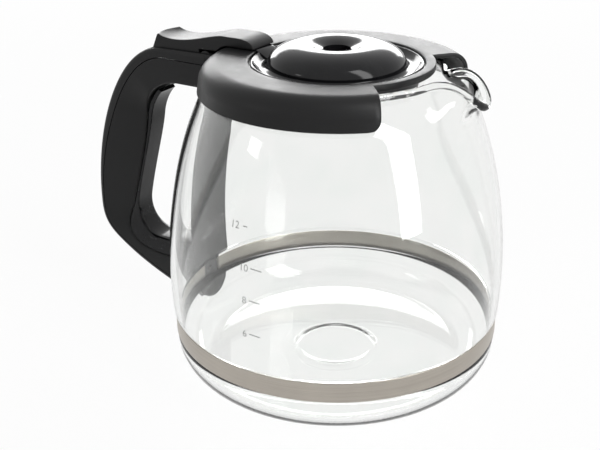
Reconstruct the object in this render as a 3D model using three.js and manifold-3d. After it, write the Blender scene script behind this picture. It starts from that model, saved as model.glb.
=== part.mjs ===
// A glass coffee carafe: blown jug with a pulled spout, moulded neck collar, steel band,
// hollow handle and a hinged lid that a thumb lever opens.
// Millimetres, +Z up. Origin: middle of the underside. Spout towards +X, handle towards -X.
import * as THREE from "three";
import { mergeVertices } from "three/addons/utils/BufferGeometryUtils.js";
import Module from "manifold-3d";

// Glass jug
const bellyRadius = 76;
const bellyHeight = 47;
const glassWall = 2.4;
const baseThickness = 3;
const heelRadius = 16.5;
const heelInset = 1.7;
const neckRadius = 59.7;
const neckHeight = 127;
const neckLean = 25.3; // degrees from upright
const shoulderLean = 58.5; // degrees from upright, at the rim
const rimRadius = 46;
const shoulderRise = 13.5; // rim above the neck
const rimBead = 1.8;
const beadStart = -20; // degrees, where the bead leaves the shoulder
const wallBow = 0.325; // curve handles, in shares of the rise
const shoulderBow = 0.37;
const baseRingRadius = 20.7;
const baseRingWidth = 1.6;
const baseRingDepth = 0.8;
const spoutRoot = 19; // how far below the rim the spout begins
const spoutReach = 23.2;
const spoutDrop = 6.4;
const spoutRise = 3.2; // how far its side lips stand above the rim
const spoutSpread = 13.2; // degrees each side
const spoutFlare = 0.8; // how much wider its root is
const spoutSquareness = 2.6;
const spoutNotch = 4; // how narrowly its lip dips in the middle
const spoutLipPlace = 0.85; // side lips, in shares of the spread
const spoutLipWidth = 0.45;

// Steel band and its clamp
const bandBottom = 19.7;
const bandHeight = 9;
const bandThickness = 0.6;
const bandSeatDepth = 0.8;
const seatRamp = 1.2;
const clampReach = 9.4; // clamp screw behind the belly
const bandTabReach = 14;
const bandTabHeight = 6.2;
const bandTabSpacing = 12.6; // across the outer faces of the two tabs
const bandScrewRadius = 1.6;
const bandScrewHead = 3;
const clampHeadThickness = 1.2;

// Neck collar
const lidOpening = 37.7; // radius
const collarPlate = 1.9;
const collarWall = 1.7;
const collarFillet = 8.6;
const collarDraft = 0.5;
const skirtDepth = 12.8;
const bridgeWidth = 4.3;
const bridgeDepth = 2.9;
const windowInnerTurn = 40; // degrees each side of the spout
const windowOuterTurn = 43.5;
const windowCorner = 4.5;
const edgeRound = 0.9;

// Hinge
const hingeBehindCollar = 3.9;
const hingeBelowTop = 6.3;
const knuckleRadius = 3.1;
const hingePinRadius = 1.3;
const barrelWidth = 10.4;
const earThickness = 2.6;

// Lid
const lidGap = 0.75; // between the lid's edge and the collar
const lidSkin = 2;
const domeRingRadius = 15.5; // middle of the dome's ring
const domeHalfWidth = 14.3;
const domeHeight = 8.4;
const domeBelowTop = 1.6; // foot of the dome below the collar's top
const throatRadius = 6;
const lidDepth = 10.2; // below the collar's top
const dishDepth = 3;
const skirtInset = 1.9;
const lidScrewCircle = 19;
const lidScrewRadius = 1.2;
const lidScrewHead = 2.4;
const lidBossRadius = 3;
const lidPlate = 1.6; // lid base
const lidBaseRound = 1;
const lidScrewLength = 8.2;
const lidChamfer = 1.4;
const lidEdgeRound = 0.5;
const dishRun = 2.6; // width of the dish's rising edges
const dishEase = 0.5;
const domeFillet = 0.7;
const tubeShare = 0.8; // throat's wall against the lid's skin
const lidBossShare = 0.8; // of the dome's height

// Lid's hinge arm, each place as a run from the lever's front or the dome's edge, and a rise
const armBack = 2.2; // short of the lever's end
const armNotchRoom = 2; // collar cut back behind the bridge
const armStepLean = 0.4;
const armNotchReach = 4;
const armHead = [2.6, 0.8];
const armBrow = [0.2, 0.3];
const tongueTop = [1.4, 0.2];
const tongueTopBow = [4, 1.4];
const tongueToe = [0.6, 0.2];
const tongueToeBow = [2.4, 0.4];
const tongueSink = 0.6;

// Thumb lever
const leverWidth = 16.4;
const leverSkin = 1.8;
const leverSide = 1.65;
const leverHump = 4.7; // above the collar's top
const leverDip = -0.1; // lowest point of its thumb rest
const leverTail = 1.4;
const leverReach = 32.5; // tail behind the hinge
const leverBow = 2.2; // how far its end bulges in the middle
const leverRake = 3; // how far the end of its tail leans forward
const leverScrewRadius = 1.1;
const leverScrewHead = 2.2;
const leverEdge = 0.6;
const leverSteps = 6; // facets across its end
const leverSink = 1.4; // how far its sides reach below the handle's top edge
const leverOverhang = 0.3; // front edge over the lid's opening
const noseBow = [3, 3.6]; // rise and run of the front's rounding
const noseLength = 8.6;
const humpRoom = 5.8; // hump ends short of the collar's edge
const humpBow = 6;
const restBow = [12, 4.5]; // thumb rest's curve, in front and behind
const restLength = 10.8;
const tailBow = [3.3, 0.3];
const tailRound = [0.6, 0.5];
const hollowDepth = 9; // hollow carried down past its open underside
const shoulderTurn = 42; // degrees, where the underside meets the collar's shoulder
const leverScrewRuns = [12, 20.5]; // behind the hinge
const leverScrewSink = 1.6;
const leverScrewLength = 3;
const leverScrewHeadThickness = 1.3;

// Handle
const handleWidth = 20.6;
const gripWidth = 12.4; // across its inner face
const handleWall = 1.6;
const handleFloor = 2.2;
const gripReach = 58.5; // spine beyond the jug's belly
const gripDepth = 19.2; // spine to inner face, at the bottom of the grip
const armBelowTop = 4.2; // arm's top edge below the collar's top
const armDepth = 16.4;
const armGap = 2.7; // arm's end behind the collar
const heelHeight = 54; // where the grip turns into the lower arm
const footHeight = 12.2; // underside of the lower arm, at the jug
const footDepth = 19.3;
const footCover = 6.7; // gloss insert above the lower arm
const coverDepthTop = 5.2;
const coverDepthFoot = 3;
const coverSkin = 1.8;
const coverTuck = 0.4; // sides lean in towards the spine
const slotRoom = 1.4; // behind the lever's tail
const bulkheadThickness = 2.2;
const footWallThickness = 2;
const footWallBelow = 3; // end wall below the band
const handleEdge = 1.5;
const footInset = 0.6; // inner edge of the lower arm, each side
const driverShare = 0.8; // driver hole against the clamp screw's head

// Handle outlines: where the stretches meet, then the handles of their curves
const bendReach = 13; // bend begins behind the belly
const bendShare = 0.52; // part of the spine's curve that lies over the bend
const armFall = 0.6;
const footTuck = 3; // drawn into the jug, then trimmed to the back plate
const cornerReach = 20;
const cornerRise = 14.7;
const spineToe = 1.7;
const spineBow = { bend: [0.56, 1.4], grip: 0.47, heel: [0.3, 13.5], corner: [3.5, 17.4] };
const spineFootBow = { corner: [9, 5], toe: [17, 4.4] };
const underReach = 4;
const gripTopIn = 13;
const gripTopDown = 20.9;
const gripFootDown = 1;
const innerCorner = [4.8, 21.2];
const innerToe = 0.6;
const innerBow = { under: [12, 0.2], bend: [1.5, 13], grip: [1.2, 10], foot: [5.8, 19] };
const innerFootBow = { heel: [3.1, 7.5], corner: [6.2, 14], toe: [6.5, 2.9], end: [16, 2.4] };

// Gloss insert
const insertThickness = 2;
const insertLean = 0.7;
const insertInset = 0.6; // narrower than its seat, each side
const insertTaper = [0.2, 1.6]; // sides, along the grip and along the lower arm
const insertRound = [0.56, 2.2];
const glossHeelIn = 2.7;
const glossHeelUp = 2;
const glossCornerOut = 25;
const glossTopDown = 0.2;
const glossBow = { start: [3.2, 3], top: [1, 6], grip: [1.7, 10], heel: [3.8, 17] };
const glossFootBow = { heel: [1.6, 8], corner: [9.5, 0.8] };

// Back plate on the glass
const plateThickness = 2.4;
const plateWidth = 28;
const plateNeckWidth = 10.4;
const plateFootWidth = 22;
const plateBottom = 9.5;
const plateLedgeRise = 1.6; // full width begins above the band
const plateToeDrop = 1; // foot begins below the band
const plateFootTurn = -72; // degrees, where the foot's rounding begins

// Handle screws
const armScrewRadius = 1.5;
const armScrewHead = 2.6;
const armScrewHeadThickness = 1.8;
const armScrewSpacing = 9.4;
const screwEndRoom = 0.6; // beyond the points
const bossDepth = 10.8; // collar boss behind the collar wall
const bossRoot = 0.6; // share of the collar's wall that it grows from
const bossRise = 1.2; // its root above the skirt's edge
const bossStep = 2; // where its underside leaves the skirt
const bossSkin = 3; // left whole in front of the screw holes
const earTuck = 0.6;
const cheekRise = 0.6; // cheek's lower end above the skirt's edge
const cheekRoot = 0.7; // share of the collar's shoulder that it grows from

// Screw heads and points, in shares of their radius or thickness
const screwPoint = 0.6;
const crownStart = 0.55;
const crownWidth = 0.6;
const slotLength = 1.1;
const slotWidth = 0.28;
const slotFloor = 0.45;

// Clearances
const fit = 0.4; // between mouldings, and between mouldings and glass
const slip = 0.3; // round pins and screws
const gap = 0.3; // between seated pieces
const over = 1; // how far a cut runs past the face that it opens

// Facets
const bodyTurns = 44;
const collarTurns = 52;
const lidTurns = 34;
const screwSides = 10;
const spoutCrowding = 0.5; // gathers facets towards the spout

const wasm = await Module();
wasm.setup();
const V = (x, y) => new THREE.Vector2(x, y);
const radians = THREE.MathUtils.degToRad;

// Places that several pieces share
const rimHeight = neckHeight + shoulderRise;
const collarTop = rimHeight + fit + collarPlate;
const skirtBottom = collarTop - skirtDepth;
const tabHalf = bandTabSpacing / 2;
const handleHalf = handleWidth / 2;
const channelHalf = handleHalf - handleWall;
const leverHalf = leverWidth / 2;
const leverCavity = leverHalf - leverSide;
const armHalf = leverCavity - fit;
const armScrewSides = [-armScrewSpacing / 2, armScrewSpacing / 2];

// Booleans

function solid(geometry) {
  const bare = geometry.index ? geometry.toNonIndexed() : geometry.clone();
  bare.deleteAttribute("normal");
  bare.deleteAttribute("uv");
  const merged = mergeVertices(bare, 1e-4);
  const corners = merged.index.array;
  const kept = [];
  for (let i = 0; i < corners.length; i += 3) {
    const [a, b, c] = corners.slice(i, i + 3);
    if (a !== b && b !== c && c !== a) kept.push(a, b, c);
  }
  const mesh = new wasm.Mesh({
    numProp: 3,
    vertProperties: merged.attributes.position.array,
    triVerts: new Uint32Array(kept),
  });
  return new wasm.Manifold(mesh);
}

function geometryOf(body) {
  const mesh = body.getMesh();
  const geometry = new THREE.BufferGeometry();
  geometry.setAttribute("position", new THREE.BufferAttribute(mesh.vertProperties, 3));
  geometry.setIndex(new THREE.BufferAttribute(mesh.triVerts, 1));
  return geometry;
}

const joined = (first, ...others) => others.reduce((body, other) => body.add(other), first);
const cut = (first, ...others) => others.reduce((body, other) => body.subtract(other), first);

// Forms

// A turned body. The profile runs up the outside and down the inside; crowding gathers facets
// at the spout, and move may shift a point by its turn.
function turned(profile, turns, crowding = 0, move = (r, z) => [r, z]) {
  const geometry = new THREE.LatheGeometry(profile, turns);
  const place = geometry.attributes.position;
  for (let i = 0; i <= turns; i++) {
    const even = ((i % turns) / turns) * 2 * Math.PI;
    const turn = even - crowding * Math.sin(even);
    profile.forEach((point, j) => {
      const [r, z] = move(point.x, point.y, turn);
      place.setXYZ(i * profile.length + j, r * Math.cos(turn), r * Math.sin(turn), z);
    });
  }
  return solid(geometry);
}

const ring = (points, turns, crowding) => turned([...points, points[0]], turns, crowding);

// A side outline of (distance behind the axis, height), as wide as given.
function sideForm(outline, width, bevel = 0, steps = 1) {
  const geometry = new THREE.ExtrudeGeometry(new THREE.Shape(outline), {
    depth: width - 2 * bevel,
    steps,
    bevelEnabled: bevel > 0,
    bevelThickness: bevel,
    bevelSize: bevel,
    bevelOffset: -bevel,
    bevelSegments: 2,
    curveSegments: 8,
  });
  geometry.translate(0, 0, bevel - width / 2);
  const back = new THREE.Vector3(-1, 0, 0);
  const up = new THREE.Vector3(0, 0, 1);
  const across = new THREE.Vector3(0, 1, 0);
  return geometry.applyMatrix4(new THREE.Matrix4().makeBasis(back, up, across));
}

const sideways = (outline, width) => solid(sideForm(outline, width));

// A plan outline of (x, y) between two heights.
function upright(outline, bottom, top) {
  const options = { depth: top - bottom, bevelEnabled: false };
  const geometry = new THREE.ExtrudeGeometry(new THREE.Shape(outline), options);
  return solid(geometry.translate(0, 0, bottom));
}

// An outline of (y, height) seen from the spout, between two places along X.
function endways(outline, from, to) {
  const options = { depth: to - from, bevelEnabled: false };
  const geometry = new THREE.ExtrudeGeometry(new THREE.Shape(outline), options);
  const along = new THREE.Vector3(1, 0, 0);
  const across = new THREE.Vector3(0, 1, 0);
  const up = new THREE.Vector3(0, 0, 1);
  geometry.applyMatrix4(new THREE.Matrix4().makeBasis(across, up, along));
  return solid(geometry.translate(from, 0, 0));
}

const rectangle = (left, bottom, right, top) => [
  V(left, bottom),
  V(right, bottom),
  V(right, top),
  V(left, top),
];

// A rod behind the axis, at a distance and height, across the handle from one side to the other.
function crossRod(radius, behind, height, from, to) {
  const rod = new THREE.CylinderGeometry(radius, radius, to - from, screwSides);
  return solid(rod.translate(-behind, (from + to) / 2, height));
}

function uprightRod(radius, x, y, bottom, top) {
  const rod = new THREE.CylinderGeometry(radius, radius, top - bottom, screwSides);
  return solid(rod.rotateX(Math.PI / 2).translate(x, y, (bottom + top) / 2));
}

function lengthRod(radius, y, height, fromBehind, toBehind) {
  const length = Math.abs(toBehind - fromBehind);
  const rod = new THREE.CylinderGeometry(radius, radius, length, screwSides);
  return solid(rod.rotateZ(Math.PI / 2).translate(-(fromBehind + toBehind) / 2, y, height));
}

// A pan-head screw with a cross slot, head up, its head's seat at the origin.
function screw(shankRadius, headRadius, headThickness, length) {
  const profile = [
    V(0, -length),
    V(shankRadius * screwPoint, -length),
    V(shankRadius, shankRadius - length),
    V(shankRadius, 0),
    V(headRadius, 0),
    V(headRadius, headThickness * crownStart),
    V(headRadius * crownWidth, headThickness),
    V(0, headThickness),
  ];
  const slots = [0, 1].map((quarter) => {
    const bar = new THREE.BoxGeometry(headRadius * slotLength, headRadius * slotWidth, headThickness);
    bar.rotateZ((quarter * Math.PI) / 2);
    return solid(bar.translate(0, 0, headThickness * (slotFloor + 0.5)));
  });
  return cut(turned(profile, screwSides), ...slots);
}

const pointed = (screwBody, axis, place) => {
  const turn = new THREE.Quaternion().setFromUnitVectors(new THREE.Vector3(0, 0, 1), axis);
  const one = new THREE.Vector3(1, 1, 1);
  return geometryOf(screwBody).applyMatrix4(new THREE.Matrix4().compose(place, turn, one));
};

const curve = (a, c, d, b, count) => new THREE.CubicBezierCurve(a, c, d, b).getPoints(count);

function arc(centre, radiusX, radiusY, from, to, count) {
  const points = [];
  for (let i = 0; i <= count; i++) {
    const turn = radians(from + ((to - from) * i) / count);
    points.push(V(centre.x + radiusX * Math.cos(turn), centre.y + radiusY * Math.sin(turn)));
  }
  return points;
}

// A line moved sideways along its own normals, to its right by the given distance.
function offset(line, distance) {
  return line.map((point, i) => {
    const before = line[Math.max(i - 1, 0)];
    const after = line[Math.min(i + 1, line.length - 1)];
    const along = after.clone().sub(before).normalize();
    const away = distance(along);
    return V(point.x + along.y * away, point.y - along.x * away);
  });
}

// Glass jug

const heelMiddle = V(bellyRadius - heelInset - heelRadius, heelRadius);
const heelTop = bellyRadius - heelInset;
const bead = V(rimRadius, rimHeight - rimBead);
const [beadFoot] = arc(bead, rimBead, rimBead, beadStart, 0, 1);
const neck = V(neckRadius, neckHeight);
const lean = (degrees, length) =>
  V(-Math.sin(radians(degrees)), Math.cos(radians(degrees))).multiplyScalar(length);

function lowerRadius(z) {
  const share = (z - heelRadius) / (bellyHeight - heelRadius);
  return heelTop + heelInset * Math.sin((share * Math.PI) / 2);
}

const heelLine = arc(heelMiddle, heelRadius, heelRadius, -90, 0, 5);
const lowerHeights = [0.25, 0.5, 0.75].map((share) => heelRadius + share * (bellyHeight - heelRadius));
const lowerLine = lowerHeights.map((z) => V(lowerRadius(z), z));
const wallBend = (neckHeight - bellyHeight) * wallBow;
const wallLine = curve(
  V(bellyRadius, bellyHeight),
  V(bellyRadius, bellyHeight + wallBend),
  neck.clone().sub(lean(neckLean, wallBend)),
  neck,
  7,
);
const shoulderBend = shoulderRise * shoulderBow;
const shoulderLine = curve(
  neck,
  neck.clone().add(lean(neckLean, shoulderBend)),
  beadFoot.clone().sub(lean(shoulderLean, shoulderBend)),
  beadFoot,
  4,
).slice(1);
const outside = [...heelLine, ...lowerLine, ...wallLine, ...shoulderLine];

function radiusAt(z) {
  const i = outside.findIndex((point) => point.y >= z);
  const [low, high] = [outside[i - 1], outside[i]];
  return THREE.MathUtils.mapLinear(z, low.y, high.y, low.x, high.x);
}

// The spout: the rim is pulled out and down over a narrow turn, with lips left high beside it.
function spoutPull(r, z, turn) {
  const rise = THREE.MathUtils.clamp((z - rimHeight + spoutRoot) / spoutRoot, 0, 1);
  const off = Math.abs(turn > Math.PI ? turn - 2 * Math.PI : turn);
  const spread = radians(spoutSpread);
  const width = spread * (1 + spoutFlare * (1 - rise));
  const pull = Math.exp(-((off / width) ** spoutSquareness));
  const lip = Math.exp(-(((off - spoutLipPlace * spread) / (spoutLipWidth * spread)) ** 2));
  const lift = spoutRise * lip - spoutDrop * pull ** spoutNotch;
  return [r + spoutReach * rise * rise * pull, z + rise * lift];
}

const bandTop = bandBottom + bandHeight;
const plateLedge = bandTop + plateLedgeRise;
const seatRadius = lowerRadius(bandBottom) - bandSeatDepth;

function glassJug() {
  const ringHalf = baseRingWidth / 2;
  const ringRamp = baseRingDepth / 2;
  const base = [
    V(0, 0),
    V(baseRingRadius - ringHalf, 0),
    V(baseRingRadius - ringHalf + ringRamp, baseRingDepth),
    V(baseRingRadius + ringHalf - ringRamp, baseRingDepth),
    V(baseRingRadius + ringHalf, 0),
  ];
  const seat = [
    V(lowerRadius(bandBottom - fit - seatRamp), bandBottom - fit - seatRamp),
    V(seatRadius, bandBottom - fit),
    V(seatRadius, bandTop + fit),
    V(lowerRadius(bandTop + fit + seatRamp), bandTop + fit + seatRamp),
  ];
  const belly = V(lowerRadius((bandTop + bellyHeight) / 2), (bandTop + bellyHeight) / 2);
  const beadLine = arc(bead, rimBead, rimBead, beadStart / 2, 205, 5);
  const thickness = (along) => -glassWall - (baseThickness - glassWall) * along.x ** 2;
  const inside = offset(outside, (along) => thickness(along)).reverse();
  const floor = V(0, baseThickness);
  const profile = [...base, ...heelLine, ...seat, belly, ...wallLine, ...shoulderLine, ...beadLine];
  return turned([...profile, ...inside, floor], bodyTurns, spoutCrowding, spoutPull);
}

// Everything that the glass, grown by a distance, would fill.
const grownGlass = (distance) =>
  turned(
    [V(0, -distance), ...offset(outside, () => distance), V(0, rimHeight)],
    bodyTurns,
    spoutCrowding,
  );

// Steel band: an open hoop in its seat, with a tab turned out at each end for the clamp screw

const bandInner = seatRadius + gap;
const clampBehind = bellyRadius + clampReach;
const clampHeight = bandBottom + bandHeight / 2;

function steelBand() {
  const hoop = ring(
    rectangle(bandInner, bandBottom, bandInner + bandThickness, bandTop),
    bodyTurns,
    spoutCrowding,
  );
  const openHalf = tabHalf - bandThickness / 2;
  const mouth = upright(
    rectangle(-bellyRadius - bandThickness, -openHalf, -bellyRadius / 2, openHalf),
    bandBottom - over,
    bandTop + over,
  );
  const tabs = [-1, 1].map((side) => {
    const edges = [side * tabHalf, side * (tabHalf - bandThickness)].sort((a, b) => a - b);
    const start = Math.sqrt(bandInner ** 2 - tabHalf ** 2) + bandThickness / 4;
    const plan = rectangle(-start - bandTabReach, edges[0], -start, edges[1]);
    return upright(plan, clampHeight - bandTabHeight / 2, clampHeight + bandTabHeight / 2);
  });
  const hole = crossRod(bandScrewRadius + slip, clampBehind, clampHeight, -tabHalf - over, tabHalf + over);
  return cut(joined(cut(hoop, mouth), ...tabs), hole);
}

const clampSeat = tabHalf + gap;

function bandScrew() {
  const length = 2 * clampSeat + clampHeadThickness;
  const body = screw(bandScrewRadius, bandScrewHead, clampHeadThickness, length);
  const place = new THREE.Vector3(-clampBehind, clampSeat, clampHeight);
  return pointed(body, new THREE.Vector3(0, 1, 0), place);
}

function bandNut() {
  const half = bandScrewHead;
  const block = sideways(
    rectangle(clampBehind - half, clampHeight - half, clampBehind + half, clampHeight + half),
    clampHeadThickness,
  ).translate([0, -clampSeat - clampHeadThickness / 2, 0]);
  const bore = crossRod(bandScrewRadius + slip, clampBehind, clampHeight, -handleHalf, 0);
  return geometryOf(cut(block, bore));
}

// Neck collar

const collarInner = radiusAt(skirtBottom) + fit;
const collarOuter = collarInner + collarWall;
const flatEnd = collarOuter - collarDraft - collarFillet;
const hingeBehind = collarOuter + hingeBehindCollar;
const hingeHeight = collarTop - hingeBelowTop;
const bossEnd = collarOuter + bossDepth;
const armTop = collarTop - armBelowTop;
const armUnder = armTop - armDepth;
const bossBottom = armUnder + handleFloor + gap;
const bossTop = hingeHeight - knuckleRadius - fit;
const armScrewHeight = bossBottom + armScrewHead;
const earInner = barrelWidth / 2 + fit;
const earOuter = earInner + earThickness;

function neckCollar() {
  const lipEnd = lidOpening + bridgeWidth;
  const shoulder = V(flatEnd, collarTop - collarFillet);
  const innerFillet = collarFillet - collarPlate;
  const section = [
    V(lidOpening, collarTop - bridgeDepth),
    V(lipEnd, collarTop - bridgeDepth),
    V(lipEnd, collarTop - collarPlate),
    ...arc(shoulder, collarFillet - collarWall, innerFillet, 90, 0, 4),
    V(collarInner, skirtBottom),
    V(collarOuter, skirtBottom),
    ...arc(shoulder, collarFillet, collarFillet, 0, 90, 6),
    V(lidOpening + edgeRound, collarTop),
    V(lidOpening, collarTop - edgeRound),
  ];
  const shell = ring(section, collarTurns);
  return joined(cut(shell, ...spoutWindow(lipEnd)), collarBoss());
}

// The skirt and plate stop short on each side of the spout, leaving a narrow bridge over it.
function spoutWindow(lipEnd) {
  const [inner, outer] = [radians(windowInnerTurn), radians(windowOuterTurn)];
  const root = V(lipEnd * Math.cos(inner), lipEnd * Math.sin(inner));
  const end = V(collarOuter * Math.cos(outer), collarOuter * Math.sin(outer));
  const beyond = end.clone().add(end.clone().sub(root));
  const bridgeEdge = arc(V(0, 0), lipEnd, lipEnd, windowInnerTurn, -windowInnerTurn, 16);
  const front = collarOuter + over;
  const plan = [
    V(front, -beyond.y),
    V(front, beyond.y),
    beyond,
    ...bridgeEdge,
    V(beyond.x, -beyond.y),
  ];
  const opening = upright(plan, skirtBottom - over, collarTop + over);
  const corners = [-1, 1].map((side) => {
    const middle = V(side * (end.y + windowCorner), skirtBottom + windowCorner);
    const bend = arc(middle, side * -windowCorner, windowCorner, 0, -90, 5);
    const edge = side * (end.y - over);
    const below = skirtBottom - over;
    const outline = [...bend, V(middle.x, below), V(edge, below), V(edge, middle.y)];
    return endways(outline, end.x - 2 * windowCorner, end.x + windowCorner);
  });
  return [opening, ...corners];
}

// The boss that carries the handle's arm, the two hinge ears that stand on it, and a cheek beside
// each ear that closes the end of the arm.
function collarBoss() {
  const wallInside = collarOuter - collarWall * bossRoot;
  const boss = sideways(
    [
      V(wallInside, skirtBottom + bossRise),
      V(collarOuter + bossStep, bossBottom),
      V(bossEnd, bossBottom),
      V(bossEnd, bossTop),
      V(wallInside, bossTop),
    ],
    2 * earOuter,
  );
  const eye = V(hingeBehind, hingeHeight);
  const ear = sideways(
    [
      V(wallInside, bossTop - over),
      V(hingeBehind + knuckleRadius, bossTop - over),
      ...arc(eye, knuckleRadius, knuckleRadius, 0, 120, 6),
      V(wallInside - earTuck, hingeHeight),
    ],
    earThickness,
  );
  const cheek = sideways(
    [
      V(wallInside, skirtBottom + cheekRise),
      V(armStart - gap, skirtBottom + cheekRise),
      V(armStart - gap, armTop),
      V(flatEnd + collarFillet * cheekRoot, armTop),
    ],
    handleHalf - earInner,
  );
  const earMiddle = earInner + earThickness / 2;
  const cheekMiddle = (earInner + handleHalf) / 2;
  const pinHole = crossRod(hingePinRadius + slip, eye.x, eye.y, -handleHalf, handleHalf);
  const holeStart = collarOuter + bossSkin;
  const screwHoles = armScrewSides.map((y) =>
    lengthRod(armScrewRadius + slip, y, armScrewHeight, holeStart, bossEnd + over),
  );
  const ears = [-earMiddle, earMiddle].map((y) => ear.translate([0, y, 0]));
  const cheeks = [-cheekMiddle, cheekMiddle].map((y) => cheek.translate([0, y, 0]));
  return cut(joined(boss, ...ears, ...cheeks), pinHole, ...screwHoles);
}

function hingePin() {
  const length = 2 * earOuter;
  const rod = new THREE.CylinderGeometry(hingePinRadius, hingePinRadius, length, screwSides);
  return rod.translate(-hingeBehind, 0, hingeHeight);
}

// Handle outlines, as (distance behind the axis, height): spine, matte inner edge, gloss inner face.
// Every station of one outline faces the station of the same number on the others.

const spineEnd = bellyRadius + gripReach;
const armStart = collarOuter + armGap;
const bendStart = bellyRadius + bendReach;
const gripDrop = armTop - heelHeight;
const insideFoot = bellyRadius - footTuck;
const share = (from, to, part) => from + (to - from) * part;

const bendTop = V(bendStart, armTop - armFall);
const spineHeel = V(spineEnd, heelHeight);
const spineCorner = V(spineEnd - cornerReach, footHeight + cornerRise);
const spineFoot = V(insideFoot, footHeight - spineToe);
const spineBend = new THREE.CubicBezierCurve(
  bendTop,
  V(share(bendStart, spineEnd, spineBow.bend[0]), armTop - spineBow.bend[1]),
  V(spineEnd, heelHeight + gripDrop * spineBow.grip),
  spineHeel,
);
const innerEnd = spineEnd - gripDepth;
const stations = { arm: 3, bend: 8, grip: 6, corner: 6, foot: 5 };

function along(bezier, from, to, count) {
  const points = [];
  for (let i = 1; i <= count; i++) points.push(bezier.getPoint(share(from, to, i / count)));
  return points;
}

const straight = (a, b, count) => along(new THREE.LineCurve(a, b), 0, 1, count);
const bent = (a, c, d, b, count) => along(new THREE.CubicBezierCurve(a, c, d, b), 0, 1, count);

// A place moved outwards and up from another.
const from = (place, out, up) => V(place.x + out, place.y + up);

const armTopStart = V(armStart, armTop);
const spineLine = [
  armTopStart,
  ...straight(armTopStart, bendTop, stations.arm),
  ...along(spineBend, 0, bendShare, stations.bend),
  ...along(spineBend, bendShare, 1, stations.grip),
  ...bent(
    spineHeel,
    from(spineHeel, spineBow.heel[0], -spineBow.heel[1]),
    from(spineHeel, -spineBow.corner[0], -spineBow.corner[1]),
    spineCorner,
    stations.corner,
  ),
  ...bent(
    spineCorner,
    from(spineCorner, -spineFootBow.corner[0], -spineFootBow.corner[1]),
    V(bellyRadius + spineFootBow.toe[0], footHeight + spineFootBow.toe[1]),
    spineFoot,
    stations.foot,
  ),
];

const armUnderStart = V(armStart, armUnder);
const bendUnder = V(bellyRadius + underReach, armUnder);
const gripTop = V(innerEnd - gripTopIn, armUnder - gripTopDown);
const gripFoot = V(innerEnd, heelHeight - gripFootDown);
const cornerInner = V(innerEnd - innerCorner[0], footHeight + innerCorner[1]);
const footBack = footHeight + footDepth;
const innerLine = [
  armUnderStart,
  ...straight(armUnderStart, bendUnder, stations.arm),
  ...bent(
    bendUnder,
    from(bendUnder, innerBow.under[0], -innerBow.under[1]),
    from(gripTop, -innerBow.bend[0], innerBow.bend[1]),
    gripTop,
    stations.bend,
  ),
  ...bent(
    gripTop,
    from(gripTop, innerBow.grip[0], -innerBow.grip[1]),
    from(gripFoot, -innerBow.foot[0], innerBow.foot[1]),
    gripFoot,
    stations.grip,
  ),
  ...bent(
    gripFoot,
    from(gripFoot, innerFootBow.heel[0], -innerFootBow.heel[1]),
    from(gripFoot, innerFootBow.corner[0], -innerFootBow.corner[1]),
    cornerInner,
    stations.corner,
  ),
  ...bent(
    cornerInner,
    from(cornerInner, -innerFootBow.toe[0], -innerFootBow.toe[1]),
    V(bellyRadius + innerFootBow.end[0], footBack - innerFootBow.end[1]),
    V(insideFoot, footBack + innerToe),
    stations.foot,
  ),
];

const armStations = stations.arm + stations.bend;
const gripStations = armStations + stations.grip;
const insertStart = stations.arm + stations.bend / 2;

// How far along the handle a station lies, from 0 to 1 inside one stretch.
const within = (station, from, count) => THREE.MathUtils.smoothstep(station, from, from + count);

function innerHalf(station) {
  const narrowed = within(station, insertStart, stations.bend / 2);
  const widened = within(station, gripStations, stations.corner);
  const narrow = gripWidth / 2;
  return share(share(handleHalf, narrow, narrowed), handleHalf - footInset, widened);
}

const coverDepth = (station) =>
  share(coverDepthTop, coverDepthFoot, within(station, armStations, gripStations - armStations));

// A body whose sections stand on facing stations of two lines. section(station, span) gives
// (distance from the first line towards the second, distance across).
function spanned(first, second, from, section) {
  const rings = [];
  for (let i = from; i < first.length; i++) {
    const span = first[i].distanceTo(second[i]);
    const towards = second[i].clone().sub(first[i]).normalize();
    rings.push(
      section(i, span).map(([away, across]) => {
        const place = first[i].clone().addScaledVector(towards, away);
        return [-place.x, across, place.y];
      }),
    );
  }
  const count = rings[0].length;
  const faces = [];
  for (let i = 0; i + 1 < rings.length; i++) {
    for (let j = 0; j < count; j++) {
      const [a, b] = [i * count + j, i * count + ((j + 1) % count)];
      faces.push(a, b + count, b, a, a + count, b + count);
    }
  }
  const flat = section(from, first[from].distanceTo(second[from])).map(([x, y]) => V(x, y));
  const last = (rings.length - 1) * count;
  for (const [a, b, c] of THREE.ShapeUtils.triangulateShape(flat, [])) {
    faces.push(c, b, a, last + a, last + b, last + c);
  }
  const geometry = new THREE.BufferGeometry();
  geometry.setAttribute("position", new THREE.Float32BufferAttribute(rings.flat(2), 3));
  geometry.setIndex(faces);
  return solid(geometry);
}

const plateFace = fit + plateThickness + gap;

// Matte handle: a channel open along the spine, with a bulkhead for the arm screws and an end wall
// for the pad screw.
const bulkheadFace = bossEnd + gap;
const armScrewSeat = bulkheadFace + bulkheadThickness + gap;
const footWall = bellyRadius + plateFace + footWallThickness;

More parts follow.
